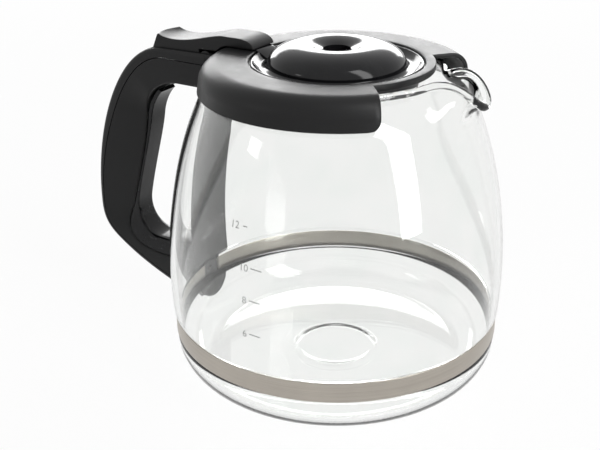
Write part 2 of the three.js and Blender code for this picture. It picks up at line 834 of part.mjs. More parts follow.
function handleShell() {
  const channel = spanned(innerLine, spineLine, 0, (station, span) => {
    const top = span - coverDepth(station);
    const half = innerHalf(station);
    return [
      [top, handleHalf],
      [top, channelHalf],
      [handleFloor, half - handleWall],
      [handleFloor, handleWall - half],
      [top, -channelHalf],
      [top, -handleHalf],
      [handleEdge, -half],
      [0, handleEdge - half],
      [0, half - handleEdge],
      [handleEdge, half],
    ];
  });
  const bulkheadTop = armScrewHeight + armScrewHead + gap;
  const bulkhead = sideways(
    rectangle(bulkheadFace, armUnder + over, bulkheadFace + bulkheadThickness, bulkheadTop),
    2 * channelHalf + handleWall,
  );
  const endWall = sideways(
    rectangle(insideFoot, bandBottom - footWallBelow, footWall, plateLedge),
    plateNeckWidth - 2 * gap,
  );
  const armHoles = armScrewSides.map((y) =>
    lengthRod(armScrewRadius + slip, y, armScrewHeight, bossEnd - over, armScrewSeat + over),
  );
  const padHole = lengthRod(armScrewRadius + slip, 0, clampHeight, insideFoot - over, footWall + over);
  const driverHole = crossRod(bandScrewHead * driverShare, clampBehind, clampHeight, 0, handleHalf + over);
  const body = joined(channel, bulkhead, endWall);
  return cut(body, grownGlass(plateFace), ...armHoles, padHole, driverHole);
}

// Spine cover: the cap that closes the channel, slotted over the arm for the lever.
const tailEnd = hingeBehind + leverReach;
const tailTop = tailEnd - leverRake;
const slotEnd = tailEnd + slotRoom;

function spineCover() {
  const cap = spanned(innerLine, spineLine, 0, (station, span) => {
    const edge = span - coverDepth(station) + gap;
    const side = handleHalf - coverTuck;
    const inner = channelHalf - coverTuck;
    return [
      [edge, handleHalf],
      [span - handleEdge, side],
      [span, side - handleEdge],
      [span, handleEdge - side],
      [span - handleEdge, -side],
      [edge, -handleHalf],
      [edge, -channelHalf],
      [span - coverSkin, -inner],
      [span - coverSkin, inner],
      [edge, channelHalf],
    ];
  });
  const slot = sideways(
    rectangle(armStart - over, armTop - 2 * coverDepthTop, slotEnd, armTop + over),
    leverWidth + 2 * fit,
  );
  return cut(cap, slot, grownGlass(plateFace));
}

// Gloss insert: lines the inside of the grip and swells into the upper half of the lower arm.
const footTop = footHeight + footDepth + footCover;
const glossStart = from(innerLine[insertStart], -insertThickness, -insertThickness * insertLean);
const glossTop = from(gripTop, -insertThickness, -glossTopDown);
const glossHeel = V(gripFoot.x - glossHeelIn, heelHeight + glossHeelUp);
const glossCorner = V(bellyRadius + glossCornerOut, footTop);
const glossLine = [
  ...innerLine.slice(0, insertStart),
  glossStart,
  ...bent(
    glossStart,
    from(glossStart, glossBow.start[0], -glossBow.start[1]),
    from(glossTop, -glossBow.top[0], glossBow.top[1]),
    glossTop,
    stations.bend / 2,
  ),
  ...bent(
    glossTop,
    from(glossTop, glossBow.grip[0], -glossBow.grip[1]),
    from(glossHeel, -glossBow.heel[0], glossBow.heel[1]),
    glossHeel,
    stations.grip,
  ),
  ...bent(
    glossHeel,
    from(glossHeel, glossFootBow.heel[0], -glossFootBow.heel[1]),
    from(glossCorner, glossFootBow.corner[0], glossFootBow.corner[1]),
    glossCorner,
    stations.corner,
  ),
  ...straight(glossCorner, V(insideFoot, footTop), stations.foot),
];

function gripInsert() {
  const body = spanned(glossLine, innerLine, insertStart, (station, span) => {
    const seat = innerHalf(Math.max(station, armStations)) - insertInset;
    const lower = within(station, gripStations, stations.corner);
    const face = seat - share(...insertTaper, lower);
    const round = share(...insertRound, lower);
    return [
      [0, face - round],
      [round, face],
      [span - fit, seat],
      [span - fit, -seat],
      [round, -face],
      [0, round - face],
    ];
  });
  return cut(body, grownGlass(plateFace));
}

// Back plate: a strip that lies on the glass behind the handle, necked between the band's tabs.
const plateTop = bossBottom - gap;

function handleBackplate() {
  const skin = [
    ...offset(outside, () => fit + plateThickness),
    ...offset(outside, () => fit).reverse(),
  ];
  const toe = bandBottom - plateToeDrop;
  const right = [
    V(0, plateBottom),
    ...arc(V(0, toe), plateFootWidth / 2, toe - plateBottom, plateFootTurn, 0, 4),
    V(plateNeckWidth / 2, toe),
    V(plateNeckWidth / 2, plateLedge),
    V(plateWidth / 2, plateLedge),
    V(plateWidth / 2, plateTop),
  ];
  const left = right.slice(1).map((point) => V(-point.x, point.y));
  const outline = endways([...right, ...left.reverse()], -footWall, -rimRadius);
  const strip = ring(skin, bodyTurns, spoutCrowding).intersect(outline);
  const padHole = lengthRod(armScrewRadius + slip, 0, clampHeight, insideFoot - over, footWall);
  return cut(strip, padHole);
}

const backwards = new THREE.Vector3(-1, 0, 0);
const downwards = new THREE.Vector3(0, 0, -1);
const armScrewLength = bossDepth - screwEndRoom;

function armScrew(y) {
  const body = screw(armScrewRadius, armScrewHead, armScrewHeadThickness, armScrewLength);
  return pointed(body, backwards, new THREE.Vector3(-armScrewSeat, y, armScrewHeight));
}

function padScrew() {
  const length = footWall + gap - radiusAt(clampHeight) - fit - screwEndRoom;
  const body = screw(armScrewRadius, armScrewHead, armScrewHeadThickness, length);
  return pointed(body, backwards, new THREE.Vector3(-footWall - gap, 0, clampHeight));
}

// Lid and lever outlines, as (distance behind the axis, height)

const leverFront = lidOpening - leverOverhang;
const leverUnder = armTop - leverSink;
const leverFloor = collarTop + fit;
const overEars = hingeHeight + knuckleRadius + fit;
const dipBehind = tailTop - restLength;
const humpEnd = collarOuter - humpRoom;
const humpTop = collarTop + leverHump;
const restFloor = collarTop + leverDip;
const leverLine = [
  ...curve(
    V(leverFront, leverFloor),
    V(leverFront, collarTop + noseBow[0]),
    V(leverFront + noseBow[1], humpTop),
    V(leverFront + noseLength, humpTop),
    5,
  ),
  ...curve(
    V(humpEnd, humpTop),
    V(humpEnd + humpBow, humpTop),
    V(dipBehind - restBow[0], restFloor),
    V(dipBehind, restFloor),
    7,
  ),
  ...curve(
    V(dipBehind, restFloor),
    V(dipBehind + restBow[1], restFloor),
    V(tailTop - tailBow[0], collarTop + leverTail * tailBow[1]),
    V(tailTop - tailRound[0], collarTop + leverTail),
    3,
  ).slice(1),
];

// The collar's shoulder as the lever and the lid's arm pass over it, from the hinge to the front.
const overFillet = collarFillet + fit;
const overShoulder = [
  V(hingeBehind + knuckleRadius + fit, leverUnder),
  V(hingeBehind + knuckleRadius + fit, overEars),
  ...arc(V(flatEnd, collarTop - collarFillet), overFillet, overFillet, shoulderTurn, 90, 4),
];

const armEnd = tailTop - leverBow - armBack;
const lidEdge = lidOpening - lidGap;
const tongueBack = Math.sqrt((lidEdge - fit) ** 2 - armHalf ** 2);
const dishFloor = collarTop - dishDepth;
const domeFoot = collarTop - domeBelowTop;
const domeEdge = domeRingRadius + domeHalfWidth;
const ringNotch = lidOpening + bridgeWidth + armNotchRoom;
const armStep = ringNotch - armNotchRoom / 2;

// The lid's hinge arm: up from the dish, back over the collar, past the hinge and under the lever.
// grow raises its top for the hollow that it fills in the lever, and sink lowers its underside.
function armOutline(grow, sink) {
  const drop = leverSkin + gap - grow;
  const backLine = leverLine.filter((point) => point.x > armStep && point.x < armEnd - over);
  const top = backLine.map((point) => V(point.x, point.y - drop)).reverse();
  const brow = collarTop + grow;
  const tongueFloor = dishFloor - tongueSink - sink;
  const outline = [
    V(armEnd + grow, leverUnder - sink),
    V(armEnd + grow, top[0].y),
    ...top,
    V(leverFront + armHead[0], brow + armHead[1]),
    V(leverFront - armBrow[0], brow + armBrow[1]),
    ...curve(
      V(leverFront - tongueTop[0], brow - tongueTop[1]),
      V(leverFront - tongueTopBow[0], brow - tongueTopBow[1]),
      V(domeEdge + tongueToeBow[0], dishFloor + tongueToeBow[1]),
      V(domeEdge + tongueToe[0], dishFloor + tongueToe[1]),
      3,
    ),
    V(domeEdge + tongueToe[0], tongueFloor),
    V(tongueBack, tongueFloor),
    V(tongueBack, dishFloor - sink),
    V(armStep - armStepLean, dishFloor - sink),
    V(armStep, leverFloor - sink),
    ...overShoulder.map((point) => V(point.x, point.y - sink)).reverse(),
  ];
  return outline.reverse();
}

const leverScrewPlaces = leverScrewRuns.map((run) => hingeBehind + run);
const leverScrewSeat = leverUnder + leverScrewSink;

function thumbLever() {
  const outline = [
    ...leverLine,
    V(tailTop, collarTop + leverTail - tailRound[1]),
    V(tailEnd, leverUnder),
    ...overShoulder,
  ];
  const form = sideForm(outline.reverse(), leverWidth, leverEdge, leverSteps);
  const place = form.attributes.position;
  for (let i = 0; i < place.count; i++) {
    const towardsTail = THREE.MathUtils.smoothstep(-place.getX(i), dipBehind, tailTop);
    const off = place.getY(i) / leverHalf;
    place.setX(i, place.getX(i) + leverBow * towardsTail * off * off);
  }
  const bar = solid(form);
  const hollow = sideways(armOutline(gap, hollowDepth), 2 * leverCavity);
  const holeTop = leverScrewSeat + leverScrewLength + gap;
  const holes = leverScrewPlaces.map((behind) =>
    uprightRod(leverScrewRadius + slip, -behind, 0, leverUnder, holeTop),
  );
  return cut(bar, hollow, ...holes);
}

function leverScrew(behind) {
  const body = screw(leverScrewRadius, leverScrewHead, leverScrewHeadThickness, leverScrewLength);
  const place = new THREE.Vector3(-behind, 0, leverScrewSeat - gap);
  return pointed(body, downwards, place);
}

const lidBottom = collarTop - lidDepth;
const lidUnder = dishFloor - lidSkin;
const throatTube = throatRadius + lidSkin * tubeShare;
const lidScrewTurns = [60, 180, 300].map(radians);
const lidScrewPlaces = lidScrewTurns.map((turn) =>
  V(Math.cos(turn), Math.sin(turn)).multiplyScalar(lidScrewCircle),
);

// Lid cap: a ring-shaped dome round a pouring throat, in a shallow dish.
function lidCap() {
  const middle = V(domeRingRadius, domeFoot);
  const innerHalfWidth = domeHalfWidth - lidSkin;
  const funnelTurn = (radius, half) =>
    180 - THREE.MathUtils.radToDeg(Math.acos((domeRingRadius - radius) / half));
  const funnel = funnelTurn(throatRadius, domeHalfWidth);
  const innerFunnel = funnelTurn(throatTube, innerHalfWidth);
  const section = [
    V(throatRadius, lidBottom),
    V(throatTube, lidBottom),
    ...arc(middle, innerHalfWidth, domeHeight - lidSkin, innerFunnel, 0, 7),
    V(domeEdge - lidSkin, lidUnder),
    V(lidEdge - lidChamfer, lidUnder),
    V(lidEdge, lidUnder + lidChamfer),
    V(lidEdge, collarTop - 2 * lidEdgeRound),
    V(lidEdge - lidEdgeRound, collarTop - lidEdgeRound),
    V(lidEdge - dishRun, dishFloor + dishEase),
    V(domeEdge + dishRun, dishFloor),
    V(domeEdge + domeFillet, dishFloor + dishEase),
    ...arc(middle, domeHalfWidth, domeHeight, 0, funnel, 9),
  ];
  const lidBossTop = domeFoot + domeHeight * lidBossShare;
  const bosses = lidScrewPlaces.map(({ x, y }) =>
    uprightRod(lidBossRadius, x, y, lidBottom + lidPlate + gap, lidBossTop),
  );
  const bossHoles = lidScrewPlaces.map(({ x, y }) =>
    uprightRod(lidScrewRadius + slip, x, y, lidBottom, domeFoot),
  );
  const arm = sideways(armOutline(0, 0), 2 * armHalf);
  const eye = V(hingeBehind, hingeHeight);
  const barrel = sideways(
    [
      ...arc(eye, knuckleRadius, knuckleRadius, 180, 360, 8),
      V(eye.x + knuckleRadius, overEars + over),
      V(eye.x - knuckleRadius, overEars + over),
    ],
    barrelWidth,
  );
  const pinHole = crossRod(hingePinRadius + slip, eye.x, eye.y, -handleHalf, handleHalf);
  const screwHoles = leverScrewPlaces.flatMap((behind) => [
    uprightRod(leverScrewRadius + slip, -behind, 0, leverUnder - over, collarTop),
    uprightRod(leverScrewHead + slip, -behind, 0, leverUnder - over, leverScrewSeat),
  ]);
  const body = joined(ring(section, lidTurns), ...bosses, arm, barrel);
  return cut(body, ...bossHoles, pinHole, ...screwHoles);
}

// Lid base: the cup that closes the lid from below, round the throat.
function lidBase() {
  const outer = lidEdge - skirtInset;
  const hole = throatTube + fit;
  const section = [
    V(hole, lidBottom),
    V(outer - lidBaseRound, lidBottom),
    V(outer, lidBottom + lidBaseRound),
    V(outer, lidUnder - gap),
    V(outer - lidPlate, lidUnder - gap),
    V(outer - lidPlate, lidBottom + lidPlate),
    V(hole, lidBottom + lidPlate),
  ];
  const holes = lidScrewPlaces.map(({ x, y }) =>
    uprightRod(lidScrewRadius + slip, x, y, lidBottom - over, lidBottom + lidPlate + over),
  );
  return cut(ring(section, lidTurns), ...holes);
}

function lidScrew({ x, y }) {
  const body = screw(lidScrewRadius, lidScrewHead, lidPlate, lidScrewLength);
  const place = new THREE.Vector3(x, y, lidBottom - gap);
  return pointed(body, downwards, place);
}

// The collar is cut back under the lever so that the lid's arm can pass.
function armNotch() {
  const floor = collarTop - bridgeDepth - over;
  const outline = rectangle(lidOpening - armNotchReach, floor, ringNotch, collarTop + over);
  return sideways(outline, 2 * (armHalf + fit));
}

// Finishes

const finish = (color, roughness, metalness) =>
  new THREE.MeshStandardMaterial({ color, roughness, metalness });
const clearGlass = () => {
  const material = finish(0xeaf1ec, 0.04, 0);
  material.transparent = true;
  material.opacity = 0.25;
  return material;
};
const matteBlack = () => finish(0x262626, 0.6, 0);
const glossBlack = () => finish(0x0d0d0d, 0.12, 0);
const brushedSteel = () => finish(0xb3a99d, 0.34, 1);
const zincSteel = () => finish(0xa9abad, 0.4, 1);

// Assembly

const carafe = new THREE.Group();

function add(name, shape, material) {
  const geometry = shape.isBufferGeometry ? shape : geometryOf(shape);
  geometry.computeVertexNormals();
  const mesh = new THREE.Mesh(geometry, material);
  mesh.name = name;
  carafe.add(mesh);
}

add("glass_jug", glassJug(), clearGlass());
add("neck_collar", cut(neckCollar(), armNotch()), matteBlack());
add("steel_band", steelBand(), brushedSteel());
add("band_screw", bandScrew(), zincSteel());
add("band_nut", bandNut(), zincSteel());
add("handle_backplate", handleBackplate(), matteBlack());
add("pad_screw", padScrew(), zincSteel());
add("handle_shell", handleShell(), matteBlack());
add("spine_cover", spineCover(), matteBlack());
add("grip_insert", gripInsert(), glossBlack());
add("arm_screw_near", armScrew(armScrewSides[0]), zincSteel());
add("arm_screw_far", armScrew(armScrewSides[1]), zincSteel());
add("hinge_pin", hingePin(), zincSteel());
add("lid_cap", lidCap(), glossBlack());
add("lid_base", lidBase(), matteBlack());
lidScrewPlaces.forEach((place, i) => add(`lid_screw_${i + 1}`, lidScrew(place), zincSteel()));
add("thumb_lever", thumbLever(), matteBlack());
add("lever_screw_front", leverScrew(leverScrewPlaces[0]), zincSteel());
add("lever_screw_rear", leverScrew(leverScrewPlaces[1]), zincSteel());

export default carafe;
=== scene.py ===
import math

import bmesh
import bpy
from mathutils import Matrix, Vector


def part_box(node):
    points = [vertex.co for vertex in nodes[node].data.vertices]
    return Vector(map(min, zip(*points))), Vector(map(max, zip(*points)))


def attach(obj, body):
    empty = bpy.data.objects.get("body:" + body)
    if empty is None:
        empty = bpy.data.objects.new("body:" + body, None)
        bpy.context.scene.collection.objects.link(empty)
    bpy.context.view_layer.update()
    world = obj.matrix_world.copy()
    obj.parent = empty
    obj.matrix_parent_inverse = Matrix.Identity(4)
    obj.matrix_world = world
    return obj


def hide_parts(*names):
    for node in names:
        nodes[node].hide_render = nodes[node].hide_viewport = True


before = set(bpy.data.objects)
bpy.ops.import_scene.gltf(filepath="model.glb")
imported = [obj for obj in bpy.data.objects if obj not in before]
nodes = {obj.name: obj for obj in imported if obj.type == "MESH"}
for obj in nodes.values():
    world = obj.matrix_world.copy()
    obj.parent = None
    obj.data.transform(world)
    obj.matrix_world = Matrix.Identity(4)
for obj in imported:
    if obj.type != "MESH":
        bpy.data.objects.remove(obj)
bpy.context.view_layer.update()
print("frame loaded:", len(nodes), "nodes")

# sizes in metres, angles in degrees unless a name says radians, x towards the spout
# outlines drawn from the side are (distance from the axis towards the handle, height)


# Mesh helpers

def meshPiece(name, points, faces):
    mesh = bpy.data.meshes.new(name)
    mesh.from_pydata([tuple(p) for p in points], [], faces)
    mesh.update()
    piece = bpy.data.objects.new(name, mesh)
    bpy.context.scene.collection.objects.link(piece)
    return piece


def cleaned(piece, distance=2e-6):
    work = bmesh.new()
    work.from_mesh(piece.data)
    bmesh.ops.remove_doubles(work, verts=work.verts, dist=distance)
    bmesh.ops.dissolve_degenerate(work, edges=work.edges, dist=distance / 2)
    bmesh.ops.recalc_face_normals(work, faces=work.faces)
    work.to_mesh(piece.data)
    work.free()
    return piece


def applied(piece):
    view = bpy.context.evaluated_depsgraph_get()
    mesh = bpy.data.meshes.new_from_object(piece.evaluated_get(view))
    old = piece.data
    piece.modifiers.clear()
    piece.data = mesh
    bpy.data.meshes.remove(old)
    mesh.name = piece.name
    return piece


def carved(piece, *tools, operation="DIFFERENCE"):
    for tool in tools:
        step = piece.modifiers.new("carve", "BOOLEAN")
        step.operation = operation
        step.solver = "EXACT"
        step.object = tool
        applied(piece)
        bpy.data.objects.remove(tool)
    return piece


def fused(piece, *others):
    return carved(piece, *others, operation="UNION")


def smoothed(piece, angle=32):
    piece.data.shade_smooth()
    piece.data.set_sharp_from_angle(angle=math.radians(angle))
    return piece


def bevelled(piece, width, segments=3, angle=30):
    step = piece.modifiers.new("edge", "BEVEL")
    step.width = width
    step.segments = segments
    step.limit_method = "ANGLE"
    step.angle_limit = math.radians(angle)
    step.use_clamp_overlap = True
    return applied(piece)


def placed(piece, body, material, slot, *replaced):
    piece.data.materials.clear()
    piece.data.materials.append(material)
    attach(piece, body)
    if replaced:
        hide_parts(*replaced)
    return piece


def middleOf(node):
    low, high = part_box(node)
    return (low + high) / 2


# Flat curves as lists of (across, up)

def bezierPoint(a, c, d, b, t):
    s = 1 - t
    k = (s ** 3, 3 * s * s * t, 3 * s * t * t, t ** 3)
    return tuple(k[0] * a[n] + k[1] * c[n] + k[2] * d[n] + k[3] * b[n] for n in (0, 1))


def bezier(a, c, d, b, count):
    return [bezierPoint(a, c, d, b, i / count) for i in range(count + 1)]


def arc(centre, radiusX, radiusY, start, end, count):
    turns = [math.radians(start + (end - start) * i / count) for i in range(count + 1)]
    return [(centre[0] + radiusX * math.cos(t), centre[1] + radiusY * math.sin(t)) for t in turns]


def between(a, b, share):
    return a + (b - a) * share


def straight(a, b, count):
    return [(between(a[0], b[0], i / count), between(a[1], b[1], i / count)) for i in range(1, count + 1)]


def eased(value, start, length):
    share = min(max((value - start) / length, 0), 1)
    return share * share * (3 - 2 * share)


def offsetLine(line, distance):
    moved = []
    for i, point in enumerate(line):
        before, after = line[max(i - 1, 0)], line[min(i + 1, len(line) - 1)]
        along = Vector((after[0] - before[0], after[1] - before[1])).normalized()
        away = distance(along)
        moved.append((point[0] + along.y * away, point[1] - along.x * away))
    return moved


# Solids

def lathe(name, profile, turns, closed=False, crowding=0):
    points, faces = [], []
    for i in range(turns):
        even = 2 * math.pi * i / turns
        turn = even - crowding * math.sin(even)
        line = profile(turn) if callable(profile) else profile
        count = len(line)
        points += [(r * math.cos(turn), r * math.sin(turn), z) for r, z in line]
    for i in range(turns):
        a, b = i * count, (i + 1) % turns * count
        for j in range(count if closed else count - 1):
            k = (j + 1) % count
            faces.append((a + j, b + j, b + k, a + k))
    return cleaned(meshPiece(name, points, faces))


def sideways(name, outline, width, bevel=0, segments=3, slices=1, move=None):
    count = len(outline)
    points, faces = [], []
    for k in range(slices + 1):
        y = between(-width / 2, width / 2, k / slices)
        points += [(-(move(u, y) if move else u), y, z) for u, z in outline]
    faces.append(tuple(range(count)))
    faces.append(tuple(range(len(points) - 1, len(points) - count - 1, -1)))
    for k in range(slices):
        for i in range(count):
            a, b = k * count + i, k * count + (i + 1) % count
            faces.append((a, a + count, b + count, b))
    piece = cleaned(meshPiece(name, points, faces))
    return bevelled(piece, bevel, segments) if bevel else piece


def block(name, low, high):
    outline = [(-low[0], low[2]), (-high[0], low[2]), (-high[0], high[2]), (-low[0], high[2])]
    piece = sideways(name, outline, high[1] - low[1])
    piece.data.transform(Matrix.Translation((0, (low[1] + high[1]) / 2, 0)))
    return piece


def rod(name, radius, start, end, sides=32):
    start, end = Vector(start), Vector(end)
    work = bmesh.new()
    length = (end - start).length
    turn = (end - start).to_track_quat("Z", "Y").to_matrix().to_4x4()
    place = Matrix.Translation((start + end) / 2) @ turn
    bmesh.ops.create_cone(
        work, cap_ends=True, segments=sides, radius1=radius, radius2=radius, depth=length, matrix=place
    )
    mesh = bpy.data.meshes.new(name)
    work.to_mesh(mesh)
    work.free()
    piece = bpy.data.objects.new(name, mesh)
    bpy.context.scene.collection.objects.link(piece)
    return piece


def ringFaces(rings, count):
    faces = []
    for i in range(rings - 1):
        for j in range(count):
            a, b = i * count + j, i * count + (j + 1) % count
            faces.append((a, b, b + count, a + count))
    return faces


def skinned(name, points, rings, distance=2e-6):
    # rings with as many points each, closed by a cap at both ends
    count = len(points) // rings
    caps = [tuple(range(count)), tuple(range(len(points) - 1, len(points) - count - 1, -1))]
    return cleaned(meshPiece(name, points, ringFaces(rings, count) + caps), distance)


def spanned(name, first, second, section):
    # sections stand on facing points of two side lines, as (distance from the first, across)
    points = []
    for station, (a, b) in enumerate(zip(first, second)):
        start, reach = Vector(a), Vector(b) - Vector(a)
        towards = reach.normalized()
        for away, across in section(station, reach.length):
            place = start + towards * away
            points.append((-place.x, across, place.y))
    return skinned(name, points, len(first))


# Shader sums: a Wire is one value inside a material

class Wire:
    def __init__(self, tree, socket):
        self.tree = tree
        self.socket = socket

    def sums(self, operation, a, b):
        return addNode(self.tree, "ShaderNodeMath", {"operation": operation}, 0, **{"0": a, "1": b})

    def __add__(self, other):
        return self.sums("ADD", self, other)

    def __radd__(self, other):
        return self.sums("ADD", other, self)

    def __sub__(self, other):
        return self.sums("SUBTRACT", self, other)

    def __rsub__(self, other):
        return self.sums("SUBTRACT", other, self)

    def __mul__(self, other):
        return self.sums("MULTIPLY", self, other)

    def __rmul__(self, other):
        return self.sums("MULTIPLY", other, self)


def addNode(tree, kind, settings=None, out=0, **values):
    # values are named by a socket's name with "_" for spaces, or by its number
    node = tree.nodes.new(kind)
    for key, value in (settings or {}).items():
        if key == "stops":
            setStops(node.color_ramp, value)
        else:
            setattr(node, key, value)
    for key, value in values.items():
        socket = node.inputs[int(key)] if key.isdigit() else node.inputs[key.replace("_", " ")]
        if isinstance(value, Wire):
            tree.links.new(value.socket, socket)
        else:
            socket.default_value = value
    return Wire(tree, node.outputs[out])


def setStops(ramp, stops):
    while len(ramp.elements) < len(stops):
        ramp.elements.new(0.5)
    for element, (place, grey) in zip(ramp.elements, stops):
        element.position = place
        element.color = (grey, grey, grey, 1)


def newMaterial(name):
    material = bpy.data.materials.new(name)
    material.use_nodes = True
    material.node_tree.nodes.clear()
    return material, material.node_tree


def finished(tree, surface):
    output = tree.nodes.new("ShaderNodeOutputMaterial")
    tree.links.new(surface.socket, output.inputs["Surface"])


def objectPlace(tree, scale=(1, 1, 1)):
    place = addNode(tree, "ShaderNodeTexCoord", out="Object")
    return addNode(tree, "ShaderNodeMapping", Vector=place, Scale=scale)


def noise(tree, place, scale, detail=3, roughness=0.5):
    return addNode(
        tree, "ShaderNodeTexNoise", None, "Fac",
        Vector=place, Scale=scale, Detail=detail, Roughness=roughness,
    )


def ramp(tree, value, *stops):
    return addNode(tree, "ShaderNodeValToRGB", {"stops": stops}, 0, Fac=value)


def colourMix(tree, share, a, b):
    values = {"0": share, "6": (*a, 1), "7": (*b, 1)}
    return addNode(tree, "ShaderNodeMix", {"data_type": "RGBA"}, 2, **values)


# Finishes

glassLook = {
    "clear": (0.94, 0.943, 0.936), "tint": (0.908, 0.926, 0.913), "shadow": (0.93, 0.95, 0.94),
    "ior": 1.47, "smear": 0.012, "film": 38, "waves": 26,
}


def blownGlass():
    material, tree = newMaterial("blownGlass")
    place = objectPlace(tree)
    film = ramp(tree, noise(tree, place, glassLook["film"], 4), (0.45, 0), (0.75, 1))
    tint = colourMix(tree, film, glassLook["clear"], glassLook["tint"])
    waves = noise(tree, objectPlace(tree, (1, 1, 0.35)), glassLook["waves"], 2)
    normal = addNode(tree, "ShaderNodeBump", None, 0, Strength=0.035, Distance=0.001, Height=waves)
    clear = addNode(
        tree, "ShaderNodeBsdfPrincipled", None, 0, Base_Color=tint, Roughness=film * glassLook["smear"],
        IOR=glassLook["ior"], Transmission_Weight=1.0, Normal=normal,
    )
    lightThrough = addNode(tree, "ShaderNodeBsdfTransparent", None, 0, Color=(*glassLook["shadow"], 1))
    shadow = addNode(tree, "ShaderNodeLightPath", None, "Is Shadow Ray")
    shaders = {"0": shadow, "1": clear, "2": lightThrough}
    finished(tree, addNode(tree, "ShaderNodeMixShader", None, 0, **shaders))
    return material


steelLook = {
    "light": (0.49, 0.452, 0.4), "dark": (0.35, 0.32, 0.284), "roughness": 0.27, "streakRoughness": 0.12,
    "brushing": (14, 14, 5200), "patches": 60,
}


def brushedSteel():
    material, tree = newMaterial("brushedSteel")
    streaks = noise(tree, objectPlace(tree, steelLook["brushing"]), 1, 4, 0.65)
    patches = noise(tree, objectPlace(tree), steelLook["patches"], 3)
    tone = ramp(tree, streaks * 0.75 + patches * 0.25, (0.32, 0), (0.68, 1))
    normal = addNode(tree, "ShaderNodeBump", None, 0, Strength=0.14, Distance=0.0001, Height=streaks)
    metal = addNode(
        tree, "ShaderNodeBsdfPrincipled", None, 0, Metallic=1.0, Anisotropic=0.6, Normal=normal,
        Base_Color=colourMix(tree, tone, steelLook["dark"], steelLook["light"]),
        Roughness=steelLook["roughness"] + tone * steelLook["streakRoughness"],
    )
    finished(tree, metal)
    return material


matteLook = {
    "dark": (0.007, 0.007, 0.0074), "light": (0.014, 0.014, 0.0144), "ior": 1.48, "specular": 0.22,
    "roughness": 0.34, "cloudRoughness": 0.1, "rubPolish": 0.06, "grain": 2600, "cloud": 34, "rub": 90,
}


def mouldedMatte():
    material, tree = newMaterial("mouldedMatte")
    place = objectPlace(tree)
    grain = noise(tree, place, matteLook["grain"], 2, 0.6)
    cloud = noise(tree, place, matteLook["cloud"], 4)
    strokes = noise(tree, objectPlace(tree, (1, 1, 2.4)), matteLook["rub"], 5, 0.7)
    rub = ramp(tree, strokes, (0.5, 0), (0.72, 1))
    tone = colourMix(tree, cloud * 0.6 + grain * 0.4, matteLook["dark"], matteLook["light"])
    dullness = cloud * matteLook["cloudRoughness"]
    normal = addNode(tree, "ShaderNodeBump", None, 0, Strength=0.22, Distance=0.0002, Height=grain)
    plastic = addNode(
        tree, "ShaderNodeBsdfPrincipled", None, 0, Base_Color=tone, Normal=normal, IOR=matteLook["ior"],
        Specular_IOR_Level=matteLook["specular"],
        Roughness=matteLook["roughness"] + dullness - rub * matteLook["rubPolish"],
    )
    finished(tree, plastic)
    return material


glossLook = {
    "colour": (0.007, 0.007, 0.008), "haze": (0.016, 0.016, 0.017), "ior": 1.5, "specular": 0.24,
    "roughness": 0.11, "smear": 0.06, "smears": 55, "ripple": 70,
}


def polishedBlack():
    material, tree = newMaterial("polishedBlack")
    place = objectPlace(tree)
    wiped = noise(tree, objectPlace(tree, (1, 2.2, 1)), glossLook["smears"], 5, 0.62)
    smears = ramp(tree, wiped, (0.48, 0), (0.8, 1))
    ripple = noise(tree, place, glossLook["ripple"], 2)
    normal = addNode(tree, "ShaderNodeBump", None, 0, Strength=0.04, Distance=0.0006, Height=ripple)
    plastic = addNode(
        tree, "ShaderNodeBsdfPrincipled", None, 0, IOR=glossLook["ior"], Normal=normal,
        Specular_IOR_Level=glossLook["specular"],
        Base_Color=colourMix(tree, smears, glossLook["colour"], glossLook["haze"]),
        Roughness=glossLook["roughness"] + smears * glossLook["smear"],
    )
    finished(tree, plastic)
    return material


zincLook = {
    "dark": (0.42, 0.43, 0.45), "light": (0.74, 0.75, 0.76), "roughness": 0.24, "spangleRoughness": 0.2,
    "spangle": 900, "stain": 220,
}


def zincPlate():
    material, tree = newMaterial("zincPlate")
    place = objectPlace(tree)
    spangle = noise(tree, place, zincLook["spangle"], 3)
    stain = noise(tree, place, zincLook["stain"], 3)
    metal = addNode(
        tree, "ShaderNodeBsdfPrincipled", None, 0, Metallic=1.0,
        Base_Color=colourMix(tree, spangle * 0.6 + stain * 0.4, zincLook["dark"], zincLook["light"]),
        Roughness=zincLook["roughness"] + spangle * zincLook["spangleRoughness"],
    )
    finished(tree, metal)
    return material


inkLook = {
    "dark": (0.5, 0.5, 0.5), "light": (0.62, 0.62, 0.61), "roughness": 0.45, "wearRoughness": 0.25,
    "cover": 0.62, "wearCover": 0.3, "wear": 1400,
}


def firedInk():
    material, tree = newMaterial("firedInk")
    wear = noise(tree, objectPlace(tree), inkLook["wear"], 3)
    ink = addNode(
        tree, "ShaderNodeBsdfPrincipled", None, 0,
        Roughness=inkLook["roughness"] + wear * inkLook["wearRoughness"],
        Base_Color=colourMix(tree, wear, inkLook["dark"], inkLook["light"]),
        Alpha=inkLook["cover"] + wear * inkLook["wearCover"],
    )
    finished(tree, ink)
    return material


clearFinish = blownGlass()
steelFinish = brushedSteel()
matteFinish = mouldedMatte()
glossFinish = polishedBlack()
zincFinish = zincPlate()
inkFinish = firedInk()
print("finishes made")


# Glass jug

